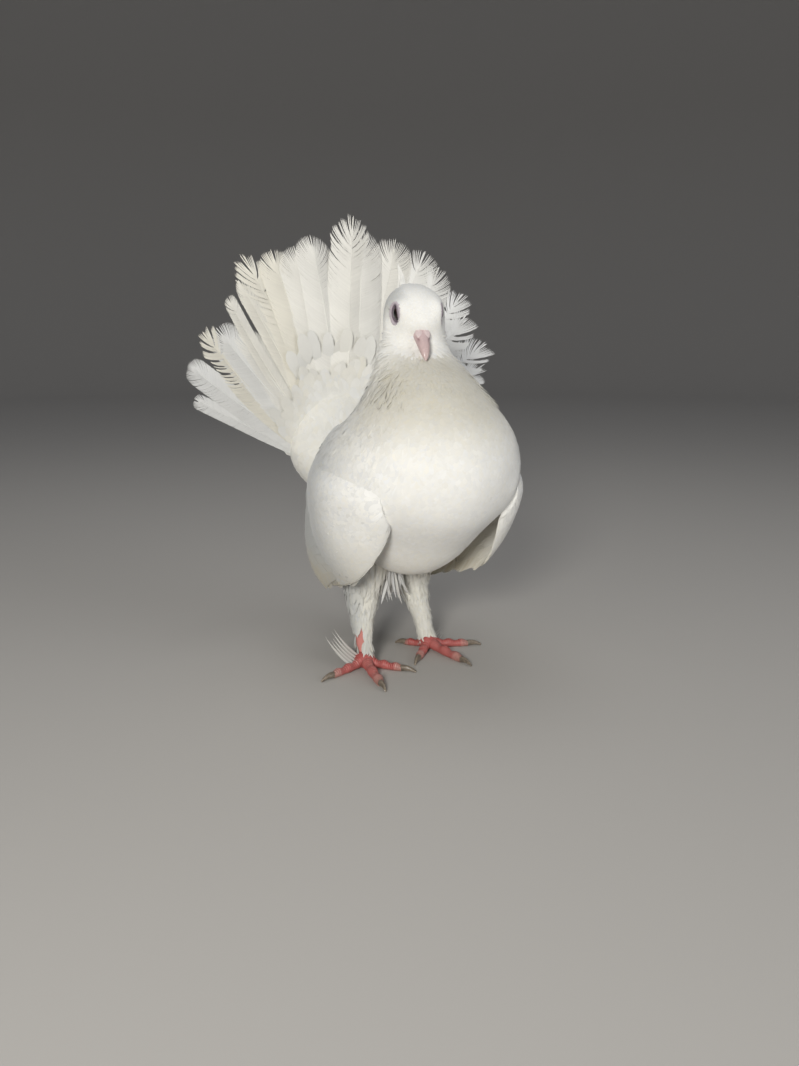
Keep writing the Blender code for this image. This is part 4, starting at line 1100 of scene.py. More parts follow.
def fan_place(angle, shingle, lift=0.0, curl=0.0, wave=0.0):
    """A tail feather's own surface: its ray of the fan, tilted so that neighbours overlap.

    The ray's sides come forward, its tip falls back and curls sideways with the cube of its length, and a
    sine runs along it.
    """

    def place(along, across, off):
        """A point from its way along the feather, across it, and off its plane."""
        reach = FAN_START + along
        bent = across + curl * (along / FAN_CURL_OVER) ** 3
        out = reach * math.sin(angle) + bent * math.cos(angle)
        high = reach * math.cos(angle) - bent * math.sin(angle)
        cup = FAN_CUP * out**2 - FAN_BEND * along**2 * math.cos(angle) ** 2
        cup = cup + FAN_SHINGLE * across * shingle + lift + off + wave * np.sin(along / FAN_WAVE) * MM
        cup = cup - FAN_ARCH * across**2
        return fan_point(out, high, cup)

    return place


# The fan's feathers from the bird's right side to its left, the foremost twelfth: length in millimetres,
# width as a share, turn in degrees, how far its tip splits in tufts, from where along it, how far its tip
# curls sideways in millimetres, how yellow it is, and how much bluish painted shade it takes
FAN = (
    (107, 0.9, 0.0, 0.20, 0.85, -3, 0.0, 0.25),
    (119, 1.05, 0.0, 0.20, 0.88, 2, 0.0, 0.25),
    (122, 1.0, 0.5, 0.98, 0.66, 11, 0.5, 0.0),
    (118, 1.0, 1.5, 0.10, 0.90, 2, 0.1, 0.3),
    (106, 1.0, 0.5, 0.15, 0.90, 0, 0.2, 0.1),
    (127, 0.36, -5.5, 0.10, 0.90, 10, 0.3, 0.0),
    (132, 1.0, -1.5, 0.15, 0.88, -2, 0.4, 0.0),
    (142, 1.0, -0.5, 0.98, 0.68, -7, 0.5, 0.0),
    (141, 0.9, -2.5, 0.55, 0.88, 0, 0.5, 0.0),
    (141, 1.0, -2.0, 0.30, 0.90, 0, 0.2, 0.0),
    (147, 0.95, -2.0, 0.35, 0.90, -2, 0.15, 0.0),
    (161, 1.05, 0.0, 0.98, 0.80, 3, 0.2, 0.0),
    (154, 1.0, -0.5, 0.15, 0.92, -3, 0.1, 0.0),
    (154, 1.0, 0.5, 0.60, 0.88, 0, 0.2, 0.0),
    (154, 1.0, 0.5, 0.60, 0.90, 2, 0.1, 0.1),
    (148, 0.95, 1.0, 0.80, 0.86, -2, 0.1, 0.2),
    (141, 0.9, 0.5, 0.95, 0.84, 3, 0.0, 0.3),
    (131, 1.0, 0.5, 0.95, 0.80, -2, 0.0, 0.3),
    (125, 1.0, 1.5, 0.98, 0.76, 4, 0.0, 0.4),
    (114, 1.0, 0.0, 0.98, 0.74, 4, 0.0, 0.4),
)
FAN_FOREMOST = 11
FAN_NOTCHED = -5  # the feather whose outer vane is worn narrow beside the curled strip
FOREMOST_LIFT = 1.4 * MM


def make_fan():
    """The tail's long feathers, in two pieces. Each covers the inner edge of its outer neighbour."""
    sides = {"fan_right": Coat(), "fan_left": Coat()}
    for i, row in enumerate(FAN, start=-FAN_FOREMOST):
        length, wider, turn, split, ragged_from, curl, yellow, shade_blue = row
        width = np.interp(abs(i), np.linspace(0, FAN_FOREMOST, len(FAN_WIDTHS)), FAN_WIDTHS) * wider
        angle = FAN_TURN + FAN_STEP * i + math.radians(turn)
        lift = (FOREMOST_LIFT if i == 0 else 0.0) + DRAWS.normal(0, 0.12) * MM
        place = fan_place(angle, (i > 0) - (i < 0), lift, curl * MM, DRAWS.normal(0, 0.2))
        # The bluish share is painted shade, on the feathers towards the fan's sides
        colour = WHITE + (CREAM - WHITE) * yellow + (BLUISH - WHITE) * shade_blue
        barbed_feather(
            sides["fan_right" if i <= 0 else "fan_left"], place, length * MM, width * MM, one_dye(colour),
            (0.5 + 0.044 * i, 0.1), split=split, ragged_from=ragged_from, fray=0.10, start=4 * MM,
            quill=-3 * MM, narrow=(0.45, 1.0) if i == FAN_NOTCHED else (1.0, 1.0),
        )
    for name, coat in sides.items():
        coat.make(name, QUILL, replaced=("tail",))


# Before and behind the fan: which way the feathers face, how many they are, how far out they begin and end,
# their length and width, over what reach their surface falls to the fan, and its level at the root and far
# out, all in millimetres
COVERTS = {
    "tail_coverts_front": (1, 420, (14, 60), 19, 8.0, (20, 66), (9.5, 0.7)),
    "tail_coverts_back": (-1, 620, (24, 76), 22, 9.5, (34, 94), (18.0, 2.2)),
}
COVERT_SPREAD = 1.04  # how far the coverts turn to either side


def covert_surface(facing, reaches, levels):
    """The plumage before or behind the fan's root: rays whose level falls from the soft base to the fan."""

    def surface(reach, angle):
        """A point from its way out along a ray, and the ray's angle."""
        out = reach * np.sin(angle)
        inner = (1 - ease(reach / MM, *reaches)) * (1 - ease(np.abs(out), 4 * MM, 38 * MM))
        level = levels[1] + (levels[0] - levels[1]) * inner
        return fan_point(out, reach * np.cos(angle), FAN_CUP * out**2 + facing * level * MM)

    surface.outward = -facing
    return surface


def near_the_middle(points, reach, angle):
    """Fewer coverts far out at the fan's sides, and fewer the further out they are."""
    aside = ease(np.abs(reach * np.sin(angle)), 20 * MM, 36 * MM)
    return (1 - 0.97 * aside) * (1.03 - ease(reach, 20 * MM, 64 * MM))


def make_tail_coverts():
    """Softer, shorter feathers over the fan's root, before and behind it."""
    turns = (FAN_TURN - COVERT_SPREAD, FAN_TURN + COVERT_SPREAD)
    for name, (facing, count, reach, length, width, reaches, levels) in COVERTS.items():
        plumage(name, covert_surface(facing, reaches, levels), count, (reach[0] * MM, reach[1] * MM), turns,
                way=up_the_line, dye=bustle_dye, density=near_the_middle, limits=(4 * MM, 110 * MM),
                span=(0.11, TURN), length=length * MM, width=width * MM, low=-1.2 * MM, high=0.2 * MM,
                lift=0.10 * MM, thick=0.05 * MM, yaw=0.15, roll=0.04, sag=0.05)


# The wings
WING_SHINGLE = 0.07  # how far a feather sinks for its way across it, so that the next one covers its edge
WING_STEPS = 6  # the wing's length, counted in the steps of its table
# The arm's half thickness, where along the wing it starts, and how far it sinks under the long feathers
ARM_THICK, ARM_START, ARM_DIP = 1.5 * MM, 0.05, 0.70 * MM


def wing_place(surface, root, tip, lift, drop):
    """A wing feather's own surface: a straight course over the wing from root to tip, tilted by the shingle.

    Towards the wing's upper and lower edges it sinks as the rounded arm does.
    """
    length = float(np.linalg.norm(surface(*tip) - surface(*root)))
    slope = tip - root

    def place(along, across, off):
        """A point from its way along the feather, across it, and off its plane."""
        done = along / length
        at = root[0] + slope[0] * done
        edges = surface(at, np.ones_like(at)) - surface(at, -np.ones_like(at))
        broad = np.linalg.norm(edges, axis=-1) / 2
        beside = root[1] + slope[1] * done + across / broad
        point, _, _, out = frame_at(surface, at, beside)
        rounding = ARM_THICK * (1 - (1 - np.minimum(beside**2, 0.93)) ** 0.4)
        return point + out * (lift - drop * done + off - WING_SHINGLE * across - rounding)[..., None]

    return place, length


# Each row of the wing's long feathers: how many; root and tip of the lowest and of the highest one, as a
# share of the way along the wing and a place across it; width, height at the root and fall, in millimetres
WING_TIERS = {
    "primaries": (10, (0.36, -0.80), (0.97, -0.75), (0.45, 0.15), (0.88, 0.60), 13, -2.2, 1.2),
    "secondaries": (11, (0.26, -0.62), (0.72, -0.84), (0.30, 0.66), (0.80, 0.88), 14, -1.4, 0.8),
    "great_coverts": (12, (0.20, -0.70), (0.58, -0.90), (0.22, 0.66), (0.62, 0.86), 12, -1.05, 0.0),
    "median_coverts": (13, (0.16, -0.76), (0.44, -0.93), (0.18, 0.66), (0.48, 0.86), 11, -1.0, -0.4),
}


def arm_surface(side):
    """The wing's feathered arm: a flat tube round the sheet of the wing, thin at its front and rear ends."""
    sheet = wing_surface(side)

    def surface(along, turn):
        """A point from its way along the wing, and its turn round the tube."""
        point, _, _, out = frame_at(sheet, along, 0.97 * np.cos(turn))
        sine = np.sin(turn)
        bulge = np.sqrt(np.clip((along - ARM_START) / 0.5, 0, 1)) * (1 - 0.75 * ease(along, 2.2, 3.4))
        high = ARM_THICK * (bulge * np.sign(sine) * np.abs(sine) ** 0.8 - 1) - ARM_DIP * ease(along, 0.9, 2.2)
        return point + out * high[..., None]

    surface.outward = side
    return surface


def over_the_arm(points, u, v):
    """Closer at the wing's edges, sparser towards the long feathers, and none under the body's feathers."""
    gap = read_grid(WING_GAP, points)
    covered = (gap > 0.9 * MM) * (np.sin(v) > 0) * (gap < KNOWN_GAP)
    return (2.0 - ease(np.abs(np.sin(v)), 0.1, 0.6)) * (1 - 0.9 * ease(u, 1.7, 2.7)) * (1.0 - covered)


def along_wing(points, along):
    """To the wing's tip, and a little down."""
    return unit(along) - np.array([0, 0, 0.12])


def narrow_at_edges(u, v):
    """The width of a wing covert: least where the tube turns over."""
    return (1.3 + 2.9 * ease(np.abs(np.sin(v)), 0.1, 0.6)) * MM


def make_wing(name, side):
    """One wing: its long feathers, the skin of its arm, and the small coverts over that."""
    surface = wing_surface(side)
    coat = Coat()
    for row, tier in enumerate(WING_TIERS.values()):
        count, low_root, low_tip, high_root, high_tip, width, lift, drop = tier
        for i in range(count):
            share = i / (count - 1)
            root = np.array(low_root) * (1 - share) + np.array(high_root) * share
            tip = np.array(low_tip) * (1 - share) + np.array(high_tip) * share
            root[0] = (root[0] + DRAWS.normal(0, 0.006)) * WING_STEPS
            tip[0] = (tip[0] + DRAWS.normal(0, 0.008)) * WING_STEPS
            place, length = wing_place(surface, root, tip, (lift + DRAWS.normal(0, 0.05)) * MM, drop * MM)
            barbed_feather(
                coat, place, length, width * MM, wing_dye, (0.05 + 0.07 * i, 0.1 + 0.2 * row),
                pitch=1.07 * MM, fray=0.07, tip=0.8, start=2 * MM, quill=0.0, shaft=0.4 * MM,
            )
    coat.make(f"{name}_quills", QUILL, replaced=(name,))
    arm = arm_surface(side)
    points, corners = skin_shell(arm, (ARM_START + 0.03, 3.6), 70, 0.4 * MM, 96)
    piece(f"{name}_skin", points, corners, DOWN, dye=wing_dye(points))
    plumage(f"{name}_coverts", arm, 3900, (ARM_START, 2.75), ALL_ROUND, way=along_wing, dye=wing_dye,
            density=over_the_arm, limits=(ARM_START, 3.6), span=(4, TURN), length=9.0 * MM,
            width=narrow_at_edges, low=-0.45 * MM, high=0.14 * MM, lift=0.04 * MM, thick=0.05 * MM, yaw=0.05,
            roll=0.01, sag=0.04)


# The head
CREST_COUNT, CREST_LENGTH, CREST_CURL = 48, 20.5 * MM, 10
# Its root in the head's frame
CREST_BACK, CREST_ASIDE, CREST_HALF_WIDTH = 14.5 * MM, -4.0 * MM, 3.08 * MM
CREST_TAPER = np.array([0, 1, 1, 0.85, 0.55, 0.3, 0])


def make_crest():
    """The peak at the back of the crown: narrow feathers that rise together and lean in to one point.

    A feather's middle leaves the line of its way by the curl times the square of its length.
    """
    coat = Coat()
    count = CREST_COUNT
    side = DRAWS.uniform(-1, 1, count)
    row = DRAWS.uniform(0, 1, count)
    aside = CREST_HALF_WIDTH * side + CREST_ASIDE
    root = HEAD_CENTRE + head_way(aside, -CREST_BACK + 6 * MM * row - 2 * MM, -2.0 * MM)
    way = unit(np.stack([-0.05 - 0.16 * side, 0.12 - 0.10 * np.abs(side) - 0.05 * row, np.ones(count)], -1))
    long = CREST_LENGTH * (1.05 - 0.30 * np.abs(side) - 0.38 * row) * DRAWS.uniform(0.75, 1.08, count)
    rows = np.linspace(0, 1, len(CREST_TAPER))
    step = rows * long[:, None]
    across = head_way(1.0, 0, 0)
    off = np.cross(way, across)[:, None] * (CREST_CURL * step**2)[..., None]
    stray = DRAWS.normal(0, 0.35, (count, 1, 1)) * MM * (rows**2)[None, :, None]
    centres = root[:, None] + way[:, None] * step[..., None] + off
    centres = centres + across * stray
    ahead = unit(np.gradient(centres, axis=1))
    out = unit(np.cross(across, ahead))
    half = 0.75 * MM * CREST_TAPER
    points, corners, row_of, side_of = sweep(centres, np.cross(out, ahead) * half[:, None], out * 0.06 * MM)
    vane = np.stack([side_of * half[row_of], rows[row_of] * CREST_LENGTH], -1)[None] / MM
    bake = np.stack([0.5 + 0.1 * side, 0.5 + 0.1 * row], -1)[:, None]
    coat.add((points, corners), vane, bake + np.stack([side_of, rows[row_of]], -1) * PATCH / 2, WHITE)
    coat.make("crest", FEATHER)


def eye_frame(sign):
    """Axes of one eye: where it looks, up, and across."""
    way = eye_way(sign)
    rise = head_way(*LID_RISE)
    up = unit(rise - dot(rise, way) * way)
    return way, up, np.cross(up, way)


# The ball's radius as a share, what the cornea adds in front, and over what angle
CORNEA = (0.985, 0.04, 0.60)


def make_eye(name, sign):
    """A ball whose radius grows by a bell curve to the cornea in front. Its rings go from front to back."""
    way, up, across = eye_frame(sign)
    polar = np.linspace(0.02, math.pi - 0.02, 60)[:, None]
    turn = round_turn(64)
    radius = EYE_RADIUS * (CORNEA[0] + CORNEA[1] * np.exp(-((polar / CORNEA[2]) ** 2)))
    ring = np.sin(polar) * radius
    points = eye_centre(sign) - way * EYE_SET + (
        way * (np.cos(polar) * radius * np.ones_like(turn))[..., None]
        + up * (ring * np.sin(turn))[..., None]
        + across * (ring * np.cos(turn))[..., None]
    )
    angle = np.broadcast_to(polar, points.shape[:2])[..., None]
    colour = PUPIL + (IRIS - PUPIL) * ease(angle, 0.34, 0.40) + (EYE_RIM - IRIS) * ease(angle, 0.56, 0.66)
    points, corners = closed_grid(points)
    solid = name.replace("eyeball", "eye")
    piece(name, points, corners, EYE, (solid,), dye=with_ends(colour, PUPIL, EYE_RIM))


def lie_of_head(sign, x, y):
    """The head's height over an eye's middle, at places across and up from it: the mean of near samples."""
    way, up, across = eye_frame(sign)
    u, v = np.meshgrid(np.linspace(10.8, 14.4, 90), round_turn(240)[0], indexing="ij")
    off = (body_surface(u, v) - eye_centre(sign)).reshape(-1, 3)
    high, right, above = off @ way, off @ across, off @ up
    near = (high > 0) & (right**2 + above**2 < (10 * MM) ** 2)
    high, right, above = high[near], right[near], above[near]
    gap = (x.reshape(-1, 1) - right) ** 2 + (y.reshape(-1, 1) - above) ** 2
    weight = np.exp(-gap / (0.5 * MM) ** 2) + 1e-12
    return ((weight @ high) / weight.sum(1)).reshape(x.shape)


# The ring round an eye: its half width and half height, outside and at the opening, and its thickness
LID_OUTER, LID_INNER = np.array([6.2, 6.9]) * MM, np.array([2.5, 3.75]) * MM
LID_THICK, LID_FOLD = 0.5 * MM, 0.13 * MM


def make_lids(name, sign):
    """The bare ring round an eye: a skin from under the feathers, over soft folds, to the lids' edge.

    The opening is an upright oval. The outer edge follows the head, and the inner edge lies on the ball.
    """
    way, up, across = eye_frame(sign)
    turn = round_turn(96)
    share = np.linspace(0, 1, 26)[:, None]
    x = (LID_OUTER[0] + (LID_INNER[0] - LID_OUTER[0]) * share) * np.cos(turn)
    y = (LID_OUTER[1] + (LID_INNER[1] - LID_OUTER[1]) * share) * np.sin(turn)
    opening = (LID_INNER[0] * np.cos(turn)) ** 2 + (LID_INNER[1] * np.sin(turn)) ** 2
    rim = np.sqrt(EYE_RADIUS**2 - opening) - EYE_SET
    rise = ease(share, 0.35, 0.95)
    folds = LID_FOLD * np.sin(share * 5.2 * math.pi + 1.0)
    folds = folds * ease(share, 0.1, 0.3) * (1 - ease(share, 0.7, 0.9))
    height = lie_of_head(sign, x, y) * (1 - rise) + (rim + 0.45 * MM) * rise + folds
    height = height - 0.7 * MM * (1 - ease(share, 0.0, 0.22)) - 0.60 * MM * ease(share, 0.90, 1.0)
    points = eye_centre(sign) + way * height[..., None] + up * y[..., None] + across * x[..., None]
    shell = np.concatenate([points, points[::-1] - way * LID_THICK])
    rings, around = shell.shape[:2]
    r, k = np.meshgrid(np.arange(rings), np.arange(around), indexing="ij")
    a, b = r * around + k, r * around + (k + 1) % around
    c, d = ((r + 1) % rings) * around + (k + 1) % around, ((r + 1) % rings) * around + k
    corners = np.stack([a, b, c, a, c, d], -1).reshape(-1, 3)
    # Painted shade: the ring darkens towards the opening, on its front and its back
    tone = np.concatenate([share, share[::-1]]) * np.ones((1, around))
    dye = mixed(LID_PALE, LID_SHADE, ease(tone, 0.45, 0.85))
    piece(name, shell, corners, LIDS, dye=dye, sharp=60)


BILL_LENGTH, BILL_WIDTH, BILL_DEPTH = 16.5 * MM, 9.4 * MM, 4.4 * MM
LOWER_LENGTH, LOWER_WIDTH, LOWER_DEPTH = 13.5 * MM, 0.86 * BILL_WIDTH, 3.0 * MM
BILL_HOOK, BILL_SUNK = 1.9 * MM, 1.5 * MM  # how far the tip is drawn down, and the root goes into the face
# The nostril's place along the bill from its sunk root, and up it, each with its half size
NOSTRIL_ALONG, NOSTRIL_UP = (6.5 * MM, 1.7 * MM), (0.9 * MM, 0.5 * MM)


def bill_points(along, turn, length, width, top, bottom, start):
    """Half a bill: arches that narrow along it, flat where the halves meet, the tip drawn down."""
    narrow = (1 - along) ** 0.62 * 0.81 + 0.19 * (1 - along**8)
    forwards = along * length
    droop = -BILL_HOOK * (forwards / BILL_LENGTH) ** 3
    x = 0.5 * width * narrow * np.cos(turn)
    sine = np.sin(turn)
    up = np.where(sine > 0, top, bottom) * narrow * np.abs(sine) ** 0.85
    return x, start + forwards, up + droop - 1.0 * MM


def make_bill():
    """The two halves of the bill. Two bell curves draw in the upper half along the slit of the nostril."""
    start = FACE_CUT - BILL_SUNK
    turn = round_turn(64)
    along = np.linspace(0, 0.995, 60)[:, None] ** 0.9
    for name, length, width, top, bottom in (
        ("bill_upper", BILL_LENGTH + BILL_SUNK, BILL_WIDTH, BILL_DEPTH, -0.35 * MM),
        ("bill_lower", LOWER_LENGTH + BILL_SUNK, LOWER_WIDTH, -0.25 * MM, -LOWER_DEPTH),
    ):
        x, forwards, up = bill_points(along, turn, length, width, top, bottom, start)
        slit = np.exp(-(((forwards - start - NOSTRIL_ALONG[0]) / NOSTRIL_ALONG[1]) ** 2))
        slit = slit * np.exp(-(((up - NOSTRIL_UP[0]) / NOSTRIL_UP[1]) ** 2)) * (name == "bill_upper")
        x = x * (1 - 0.28 * slit)
        points = HEAD_CENTRE + head_way(x, forwards, up)
        colour = mixed(BILL_PINK, BILL_TIP, np.broadcast_to(along, x.shape))
        # Painted shade in the nostril's slit and on the lower side of each half
        colour = mixed(colour, BILL_SHADE, 0.8 * slit + 0.35 * (np.sin(turn) < 0.05))
        points, corners = closed_grid(points, flip=True)
        dye = with_ends(colour, BILL_PINK, BILL_TIP)
        piece(f"{name}_horn", points, corners, BILL, (name,), dye=dye)


def make_cere():
    """Two soft bulbs side by side over the bill's root: lobed ellipsoids that lean down in front."""
    turn = round_turn(64)
    polar = np.linspace(0.05, math.pi - 0.05, 30)[:, None]
    wide = 2.3 * MM * np.sin(polar) * np.cos(turn) * (1 + 0.1 * np.sin(3 * turn))
    high = 1.3 * MM * np.sin(polar) * np.sin(turn)
    long = 2.9 * MM * np.cos(polar) * np.ones_like(turn)
    forwards, up = FACE_CUT + 1.9 * MM + long, 1.8 * MM + high - 0.22 * long
    bulbs = [closed_grid(HEAD_CENTRE + head_way(sign * 1.7 * MM + wide, forwards, up)) for sign in (1, -1)]
    points, corners = joined(bulbs)
    piece("cere", points, corners, CERE, dye=np.broadcast_to(CERE_PINK, points.shape))


# The feet
UP = np.array([0, 0, 1.0])
FLOOR_GAP = 0.05 * MM  # how far over the floor a foot's underside is


def foot_ways(foot):
    """The ways forwards and outwards of one foot, which turns out from the bird's own."""
    side = 1 if foot == "left" else -1
    turn = FEET[foot][1]
    forwards = np.array([side * math.sin(turn), -math.cos(turn), 0])
    outwards = np.array([side * math.cos(turn), math.sin(turn), 0])
    return forwards, outwards


def toe_way(foot, toe):
    """The way along one toe."""
    forwards, outwards = foot_ways(foot)
    angle = math.radians(TOES[toe][0])
    return forwards * math.cos(angle) + outwards * math.sin(angle)


def toe_size(toe, share):
    """A toe's radius and its middle's height at a share of its length: it swells at its joints."""
    joints = 2 if toe == "hind" else 3
    radius = 1.08 * TOES[toe][2] * (1 - TOE_TAPER * share) * (1 - TOE_SWELL * np.cos(TURN * joints * share))
    return radius, TOE_PRESS * radius + TOE_RISE * (1 - share) ** 3


def toe_points(foot, toe):
    """A scaly toe: rings along it, with overlapping scutes on top and round pads beneath.

    A scute's height is a power of the way along it, and a pad's a cosine. The underside is pressed flat on
    the floor. Gives the points and their colours.
    """
    way = toe_way(foot, toe)
    length = TOES[toe][1]
    share = np.linspace(0, 1, 150)[:, None]
    turn = round_turn(40)
    radius, height = toe_size(toe, share)
    travel = TOE_BEGIN + (length - TOE_BEGIN) * share
    on_top = ease(np.sin(turn), -0.1, 0.5)
    scute = (travel / SCUTE) % 1.0
    plates = 0.16 * MM * (scute**0.6 - 0.5 - 0.9 * (scute > 0.93))
    pads = 0.13 * MM * np.cos(TURN * travel / TOE_PAD) * np.cos(5 * turn)
    radius = radius + plates * on_top + pads * (1 - on_top)
    across = radius * np.cos(turn)
    up = np.maximum(height + radius * np.sin(turn), FLOOR_GAP)
    points = FEET[foot][0] + way * travel[..., None] + np.cross(UP, way) * across[..., None]
    furrow = on_top * (np.abs(scute - 0.95) < 0.09) + (1 - on_top) * 0.15
    colour = mixed(TOE_RED, TOE_PALE, 0.80 * furrow + 0.25 * (share > 0.8))
    # Darker low down, within 1.6 mm of the floor
    colour = mixed(colour, TOE_BROWN, 0.30 * ease(-up, -1.6 * MM, 0.0))
    # Dirt towards the toe's end
    colour = mixed(colour, TOE_BROWN, np.broadcast_to(0.45 * ease(share, 0.75, 1.0), up.shape))
    return points + UP * up[..., None], colour


def make_foot(foot):
    """Four toes, and between them the pad, a bumpy ball pressed on the floor: closed skins, sunk together."""
    parts, dyes = [], []
    for toe in TOES:
        points, colour = toe_points(foot, toe)
        parts.append(closed_grid(points))
        dyes.append(with_ends(colour, colour[0].mean(0), colour[-1].mean(0)))
    polar = np.linspace(0.05, math.pi - 0.05, 60)[:, None]
    turn = round_turn(80)
    bumps = 1 + 0.035 * np.sin(14 * turn) * np.sin(11 * polar)
    ring = PAD_RADIUS * 1.02 * np.sin(polar) * bumps
    high = np.maximum(PAD_HEIGHT + PAD_DEPTH * np.cos(polar) * np.ones_like(turn), FLOOR_GAP)
    points = FEET[foot][0] + np.stack([ring * np.cos(turn), ring * np.sin(turn), high], -1)
    parts.append(closed_grid(points, flip=True))
    dyes.append(np.broadcast_to(PAD_RED, parts[-1][0].shape))
    points, corners = joined(parts)
    names = tuple(f"toe_{foot}_{toe}" for toe in TOES) + (f"leg_{foot}",)
    piece(f"foot_{foot}", points, corners, SCALES, names, dye=np.concatenate(dyes), sharp=60)


def make_claw(foot, toe):
    """A claw: ellipses that narrow along a line arched over and down to the floor."""
    way = toe_way(foot, toe)
    length = TOES[toe][1]
    _, height = toe_size(toe, 1.0)
    size = HIND_CLAW if toe == "hind" else 1.0
    share = np.linspace(0, 1, 40)[:, None]
    turn = round_turn(28)
    rise = height + (0.9 * np.sin(math.pi * share * 0.75) - 1.75 * share**2) * MM
    radius = CLAW_RADIUS * (1 - 0.68 * share**1.5)
    across = radius * 0.9 * np.cos(turn)
    up = np.maximum(rise + radius * np.sin(turn), FLOOR_GAP)
    travel = length - 0.8 * MM + CLAW_LENGTH * size * share
    points = FEET[foot][0] + way * travel[..., None] + np.cross(UP, way) * across[..., None]
    points, corners = closed_grid(points + UP * up[..., None])
    streak = 0.5 + 0.5 * np.sin(3 * turn + 5 * share)
    colour = mixed(CLAW_DARK, CLAW_PALE, 0.25 + 0.5 * streak * share)
    dye = with_ends(colour, CLAW_DARK, CLAW_PALE)
    piece(f"talon_{foot}_{toe}", points, corners, HORN, (f"claw_{foot}_{toe}",), dye=dye)


# Stray feathers
MUFFS = {"right": (5, 19 * MM), "left": (4, 8 * MM)}  # how many and how long
MUFF_BEND = 24  # a path leaves its line upwards by this times the square of its length, in metres


def make_muffs():
    """Loose, curved feathers with dirty edges, which stand out from the outer side of each ankle.

    Each is a narrow leaf along a path that leaves the ankle outwards and bends up with its length squared.
    """
    coat = Coat()
    for foot, (count, long) in MUFFS.items():
        forwards, outwards = foot_ways(foot)
        k = np.arange(count)
        middle = (k - (count - 1) / 2) / count
        root = FEET[foot][0] + outwards * 5.0 * MM + np.array([0, 0, 3.6]) * MM
        root = root + (np.array([0, 0, 0.8]) - outwards * 0.6) * (8.5 * MM * middle)[:, None]
        away = unit(outwards * 0.75 + np.array([0, 0, 0.50]) + forwards * (0.35 * middle)[:, None])
        rows = np.linspace(0, 1, 14)
        step = rows * long * DRAWS.uniform(0.7, 1.05, (count, 1))
        centres = root[:, None] + away[:, None] * step[..., None]
        centres[..., 2] += MUFF_BEND * step**2
        ahead = unit(np.gradient(centres, axis=1))
        aside = unit(np.cross(ahead, outwards + forwards * 0.8))
        out = np.cross(ahead, aside)
        half = 1.35 * MM * np.sin(np.clip(rows * 1.05, 0, 1) ** 0.7 * math.pi) ** 0.8
        half[0] = half[-1] = 0
        points, corners, row_of, side_of = sweep(centres, aside * half[:, None], out * 0.08 * MM, around=5)
        vane = np.stack([side_of * 1.0, rows[row_of] * 20], -1)[None]
        bake = np.stack([0.1 + 0.1 * k, 0.3 + 0.4 * (foot == "left") + 0 * k], -1)[:, None]
        soiled = np.abs(side_of)[None, :, None] ** 2 * (0.35 + 0.65 * rows[row_of])[None, :, None]
        colour = WHITE * 0.92 + (SOIL - WHITE * 0.92) * soiled
        coat.add((points, corners), vane, bake + np.stack([side_of, rows[row_of]], -1) * PATCH / 2, colour)
    coat.make("muffs", FEATHER)


# Floor, light and camera, in metres
FLOOR_FLAT, FLOOR_ARC, FLOOR_TOP = 3.0, 1.4, 3.0
FLOOR_COLOUR, FLOOR_ROUGHNESS = (0.46, 0.44, 0.41, 1), 0.85


def make_stage():
    """A wide pale floor, flat and round, then curved up all round by a quarter circle into a wall."""
    arc = np.linspace(0, math.pi / 2, 24)
    flat = np.linspace(0.1, FLOOR_FLAT - 0.1, 15)
    reach = np.concatenate([flat, FLOOR_FLAT + FLOOR_ARC * np.sin(arc), [FLOOR_FLAT + FLOOR_ARC]])
    high = np.concatenate([0 * flat, FLOOR_ARC * (1 - np.cos(arc)), [FLOOR_TOP]])
    turn = round_turn(96)[0]
    x, y = reach[:, None] * np.cos(turn), reach[:, None] * np.sin(turn)
    points = np.stack([x, y, high[:, None] + 0 * turn], -1)
    rings, around = points.shape[:2]
    r, k = np.meshgrid(np.arange(rings - 1), np.arange(around), indexing="ij")
    a, b = r * around + k, r * around + (k + 1) % around
    quads = np.stack([a, a + around, b + around, b], -1).reshape(-1, 4)
    mesh = bpy.data.meshes.new("floor")
    mesh.from_pydata(points.reshape(-1, 3).tolist(), [], quads.tolist() + [list(range(around))])
    mesh.shade_smooth()
    material = bpy.data.materials.new("pale_floor")
    material.use_nodes = True
    shader = material.node_tree.nodes["Principled BSDF"]
    shader.inputs["Base Color"].default_value = FLOOR_COLOUR
    shader.inputs["Roughness"].default_value = FLOOR_ROUGHNESS
    mesh.materials.append(material)
    floor = bpy.data.objects.new("floor", mesh)
    bpy.context.scene.collection.objects.link(floor)


# The camera: its turn and dip, its place from the bird, and the photograph's focal length and height in
# pixels
YAW, PITCH = math.radians(27), math.radians(12.2)
TOWARDS = np.array([-math.sin(YAW), -math.cos(YAW), 0])
RIGHTWARDS = np.array([math.cos(YAW), -math.sin(YAW), 0])
CAMERA_PLACE = TOWARDS * 0.491 + RIGHTWARDS * 0.0013 + np.array([0, 0, 0.18])
FOCAL_PIXELS, PHOTO_HEIGHT, SENSOR = 850, 1066, 36


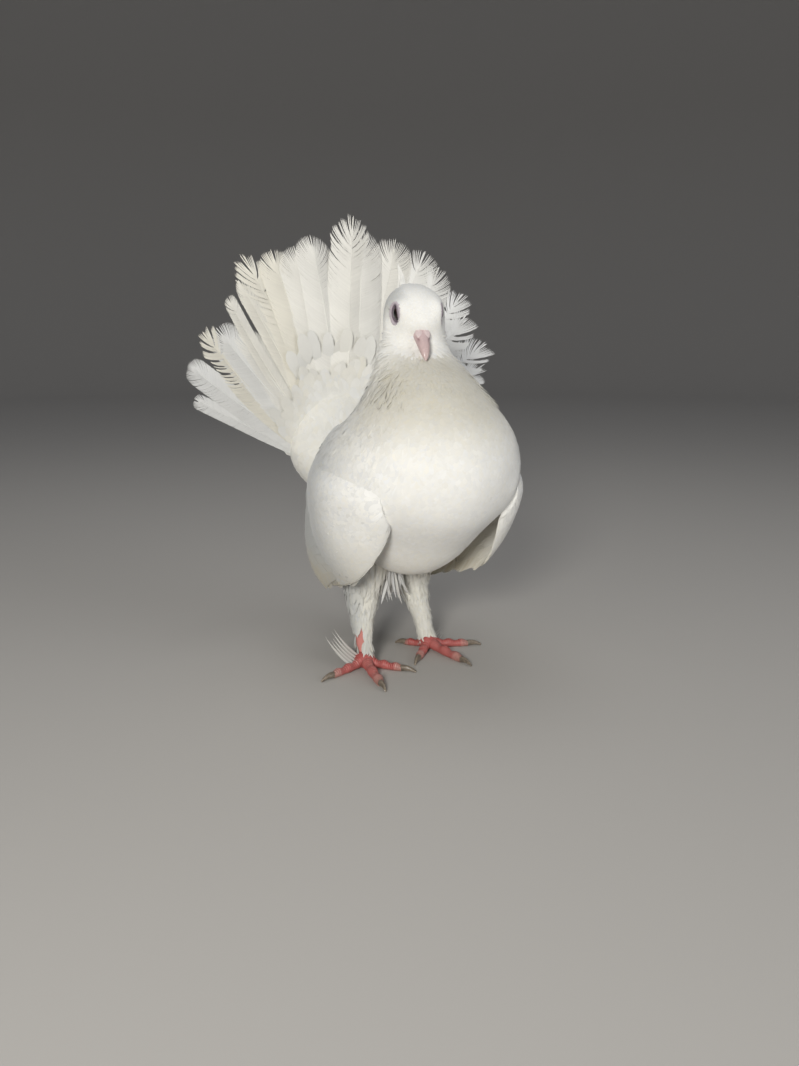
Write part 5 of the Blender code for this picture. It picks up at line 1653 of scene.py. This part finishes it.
def make_camera():
    """The photograph's view: from the bird's front and right, a little over its height, dipped slightly."""
    look = -TOWARDS * math.cos(PITCH) + np.array([0, 0, -math.sin(PITCH)])
    up = np.cross(RIGHTWARDS, look)
    turn = Matrix((RIGHTWARDS, up, -look)).transposed().to_4x4()
    turn.translation = Vector(CAMERA_PLACE + HOME)
    lens = bpy.data.cameras.new("camera")
    lens.sensor_width = SENSOR
    lens.lens = FOCAL_PIXELS / PHOTO_HEIGHT * SENSOR
    lens.clip_start = 0.01
    camera = bpy.data.objects.new("camera", lens)
    camera.matrix_world = turn
    bpy.context.scene.collection.objects.link(camera)
    bpy.context.scene.camera = camera


# Lights round the bird's middle: the way from it to each, the light's width, power in watts, and colour
LIGHTS_MIDDLE = HOME + np.array([0, 0, 0.130])
LIGHTS = {
    "key": (TOWARDS * 1.0 - RIGHTWARDS * 0.20 + np.array([0, 0, 0.30]), 0.26, 8.3, (1, 0.985, 0.95)),
    "fill": (TOWARDS * 0.55 + RIGHTWARDS * 0.95 + np.array([0, 0, 0.25]), 0.7, 2.7, (0.95, 0.97, 1)),
    "top": (np.array([0, 0.25, 1.0]), 0.8, 1.8, (1, 1, 1)),
}
SKY_COLOUR, SKY_STRENGTH = (0.9, 0.93, 1.0, 1), 0.26


def make_lights():
    """A soft light near the camera's left, a weaker one to the right, one above, and a pale sky."""
    bpy.context.scene.view_settings.view_transform = "Standard"
    for name, (way, width, power, colour) in LIGHTS.items():
        lamp = bpy.data.lights.new(name, "AREA")
        lamp.shape = "DISK"
        lamp.size = width
        lamp.energy = power
        lamp.color = colour
        made = bpy.data.objects.new(name, lamp)
        place, target = Vector(LIGHTS_MIDDLE + way), Vector(LIGHTS_MIDDLE)
        turn = (target - place).to_track_quat("-Z", "Y").to_matrix().to_4x4()
        made.matrix_world = Matrix.Translation(place) @ turn
        bpy.context.scene.collection.objects.link(made)
    world = bpy.context.scene.world or bpy.data.worlds.new("world")
    bpy.context.scene.world = world
    world.use_nodes = True
    world.node_tree.nodes["Background"].inputs["Color"].default_value = SKY_COLOUR
    world.node_tree.nodes["Background"].inputs["Strength"].default_value = SKY_STRENGTH


make_camera()
make_stage()
make_lights()
make_skin()
make_body_plumage()
make_soft_base()
for foot in FEET:
    make_leg_plumage(foot)
make_fan()
make_tail_coverts()
make_wing("wing_right", -1)
make_wing("wing_left", 1)
make_crest()
for sign, side_name in ((1, "left"), (-1, "right")):
    make_eye(f"eyeball_{side_name}", sign)
    make_lids(f"lids_{side_name}", sign)
make_bill()
make_cere()
for foot in FEET:
    make_foot(foot)
    for toe in TOES:
        make_claw(foot, toe)
make_muffs()
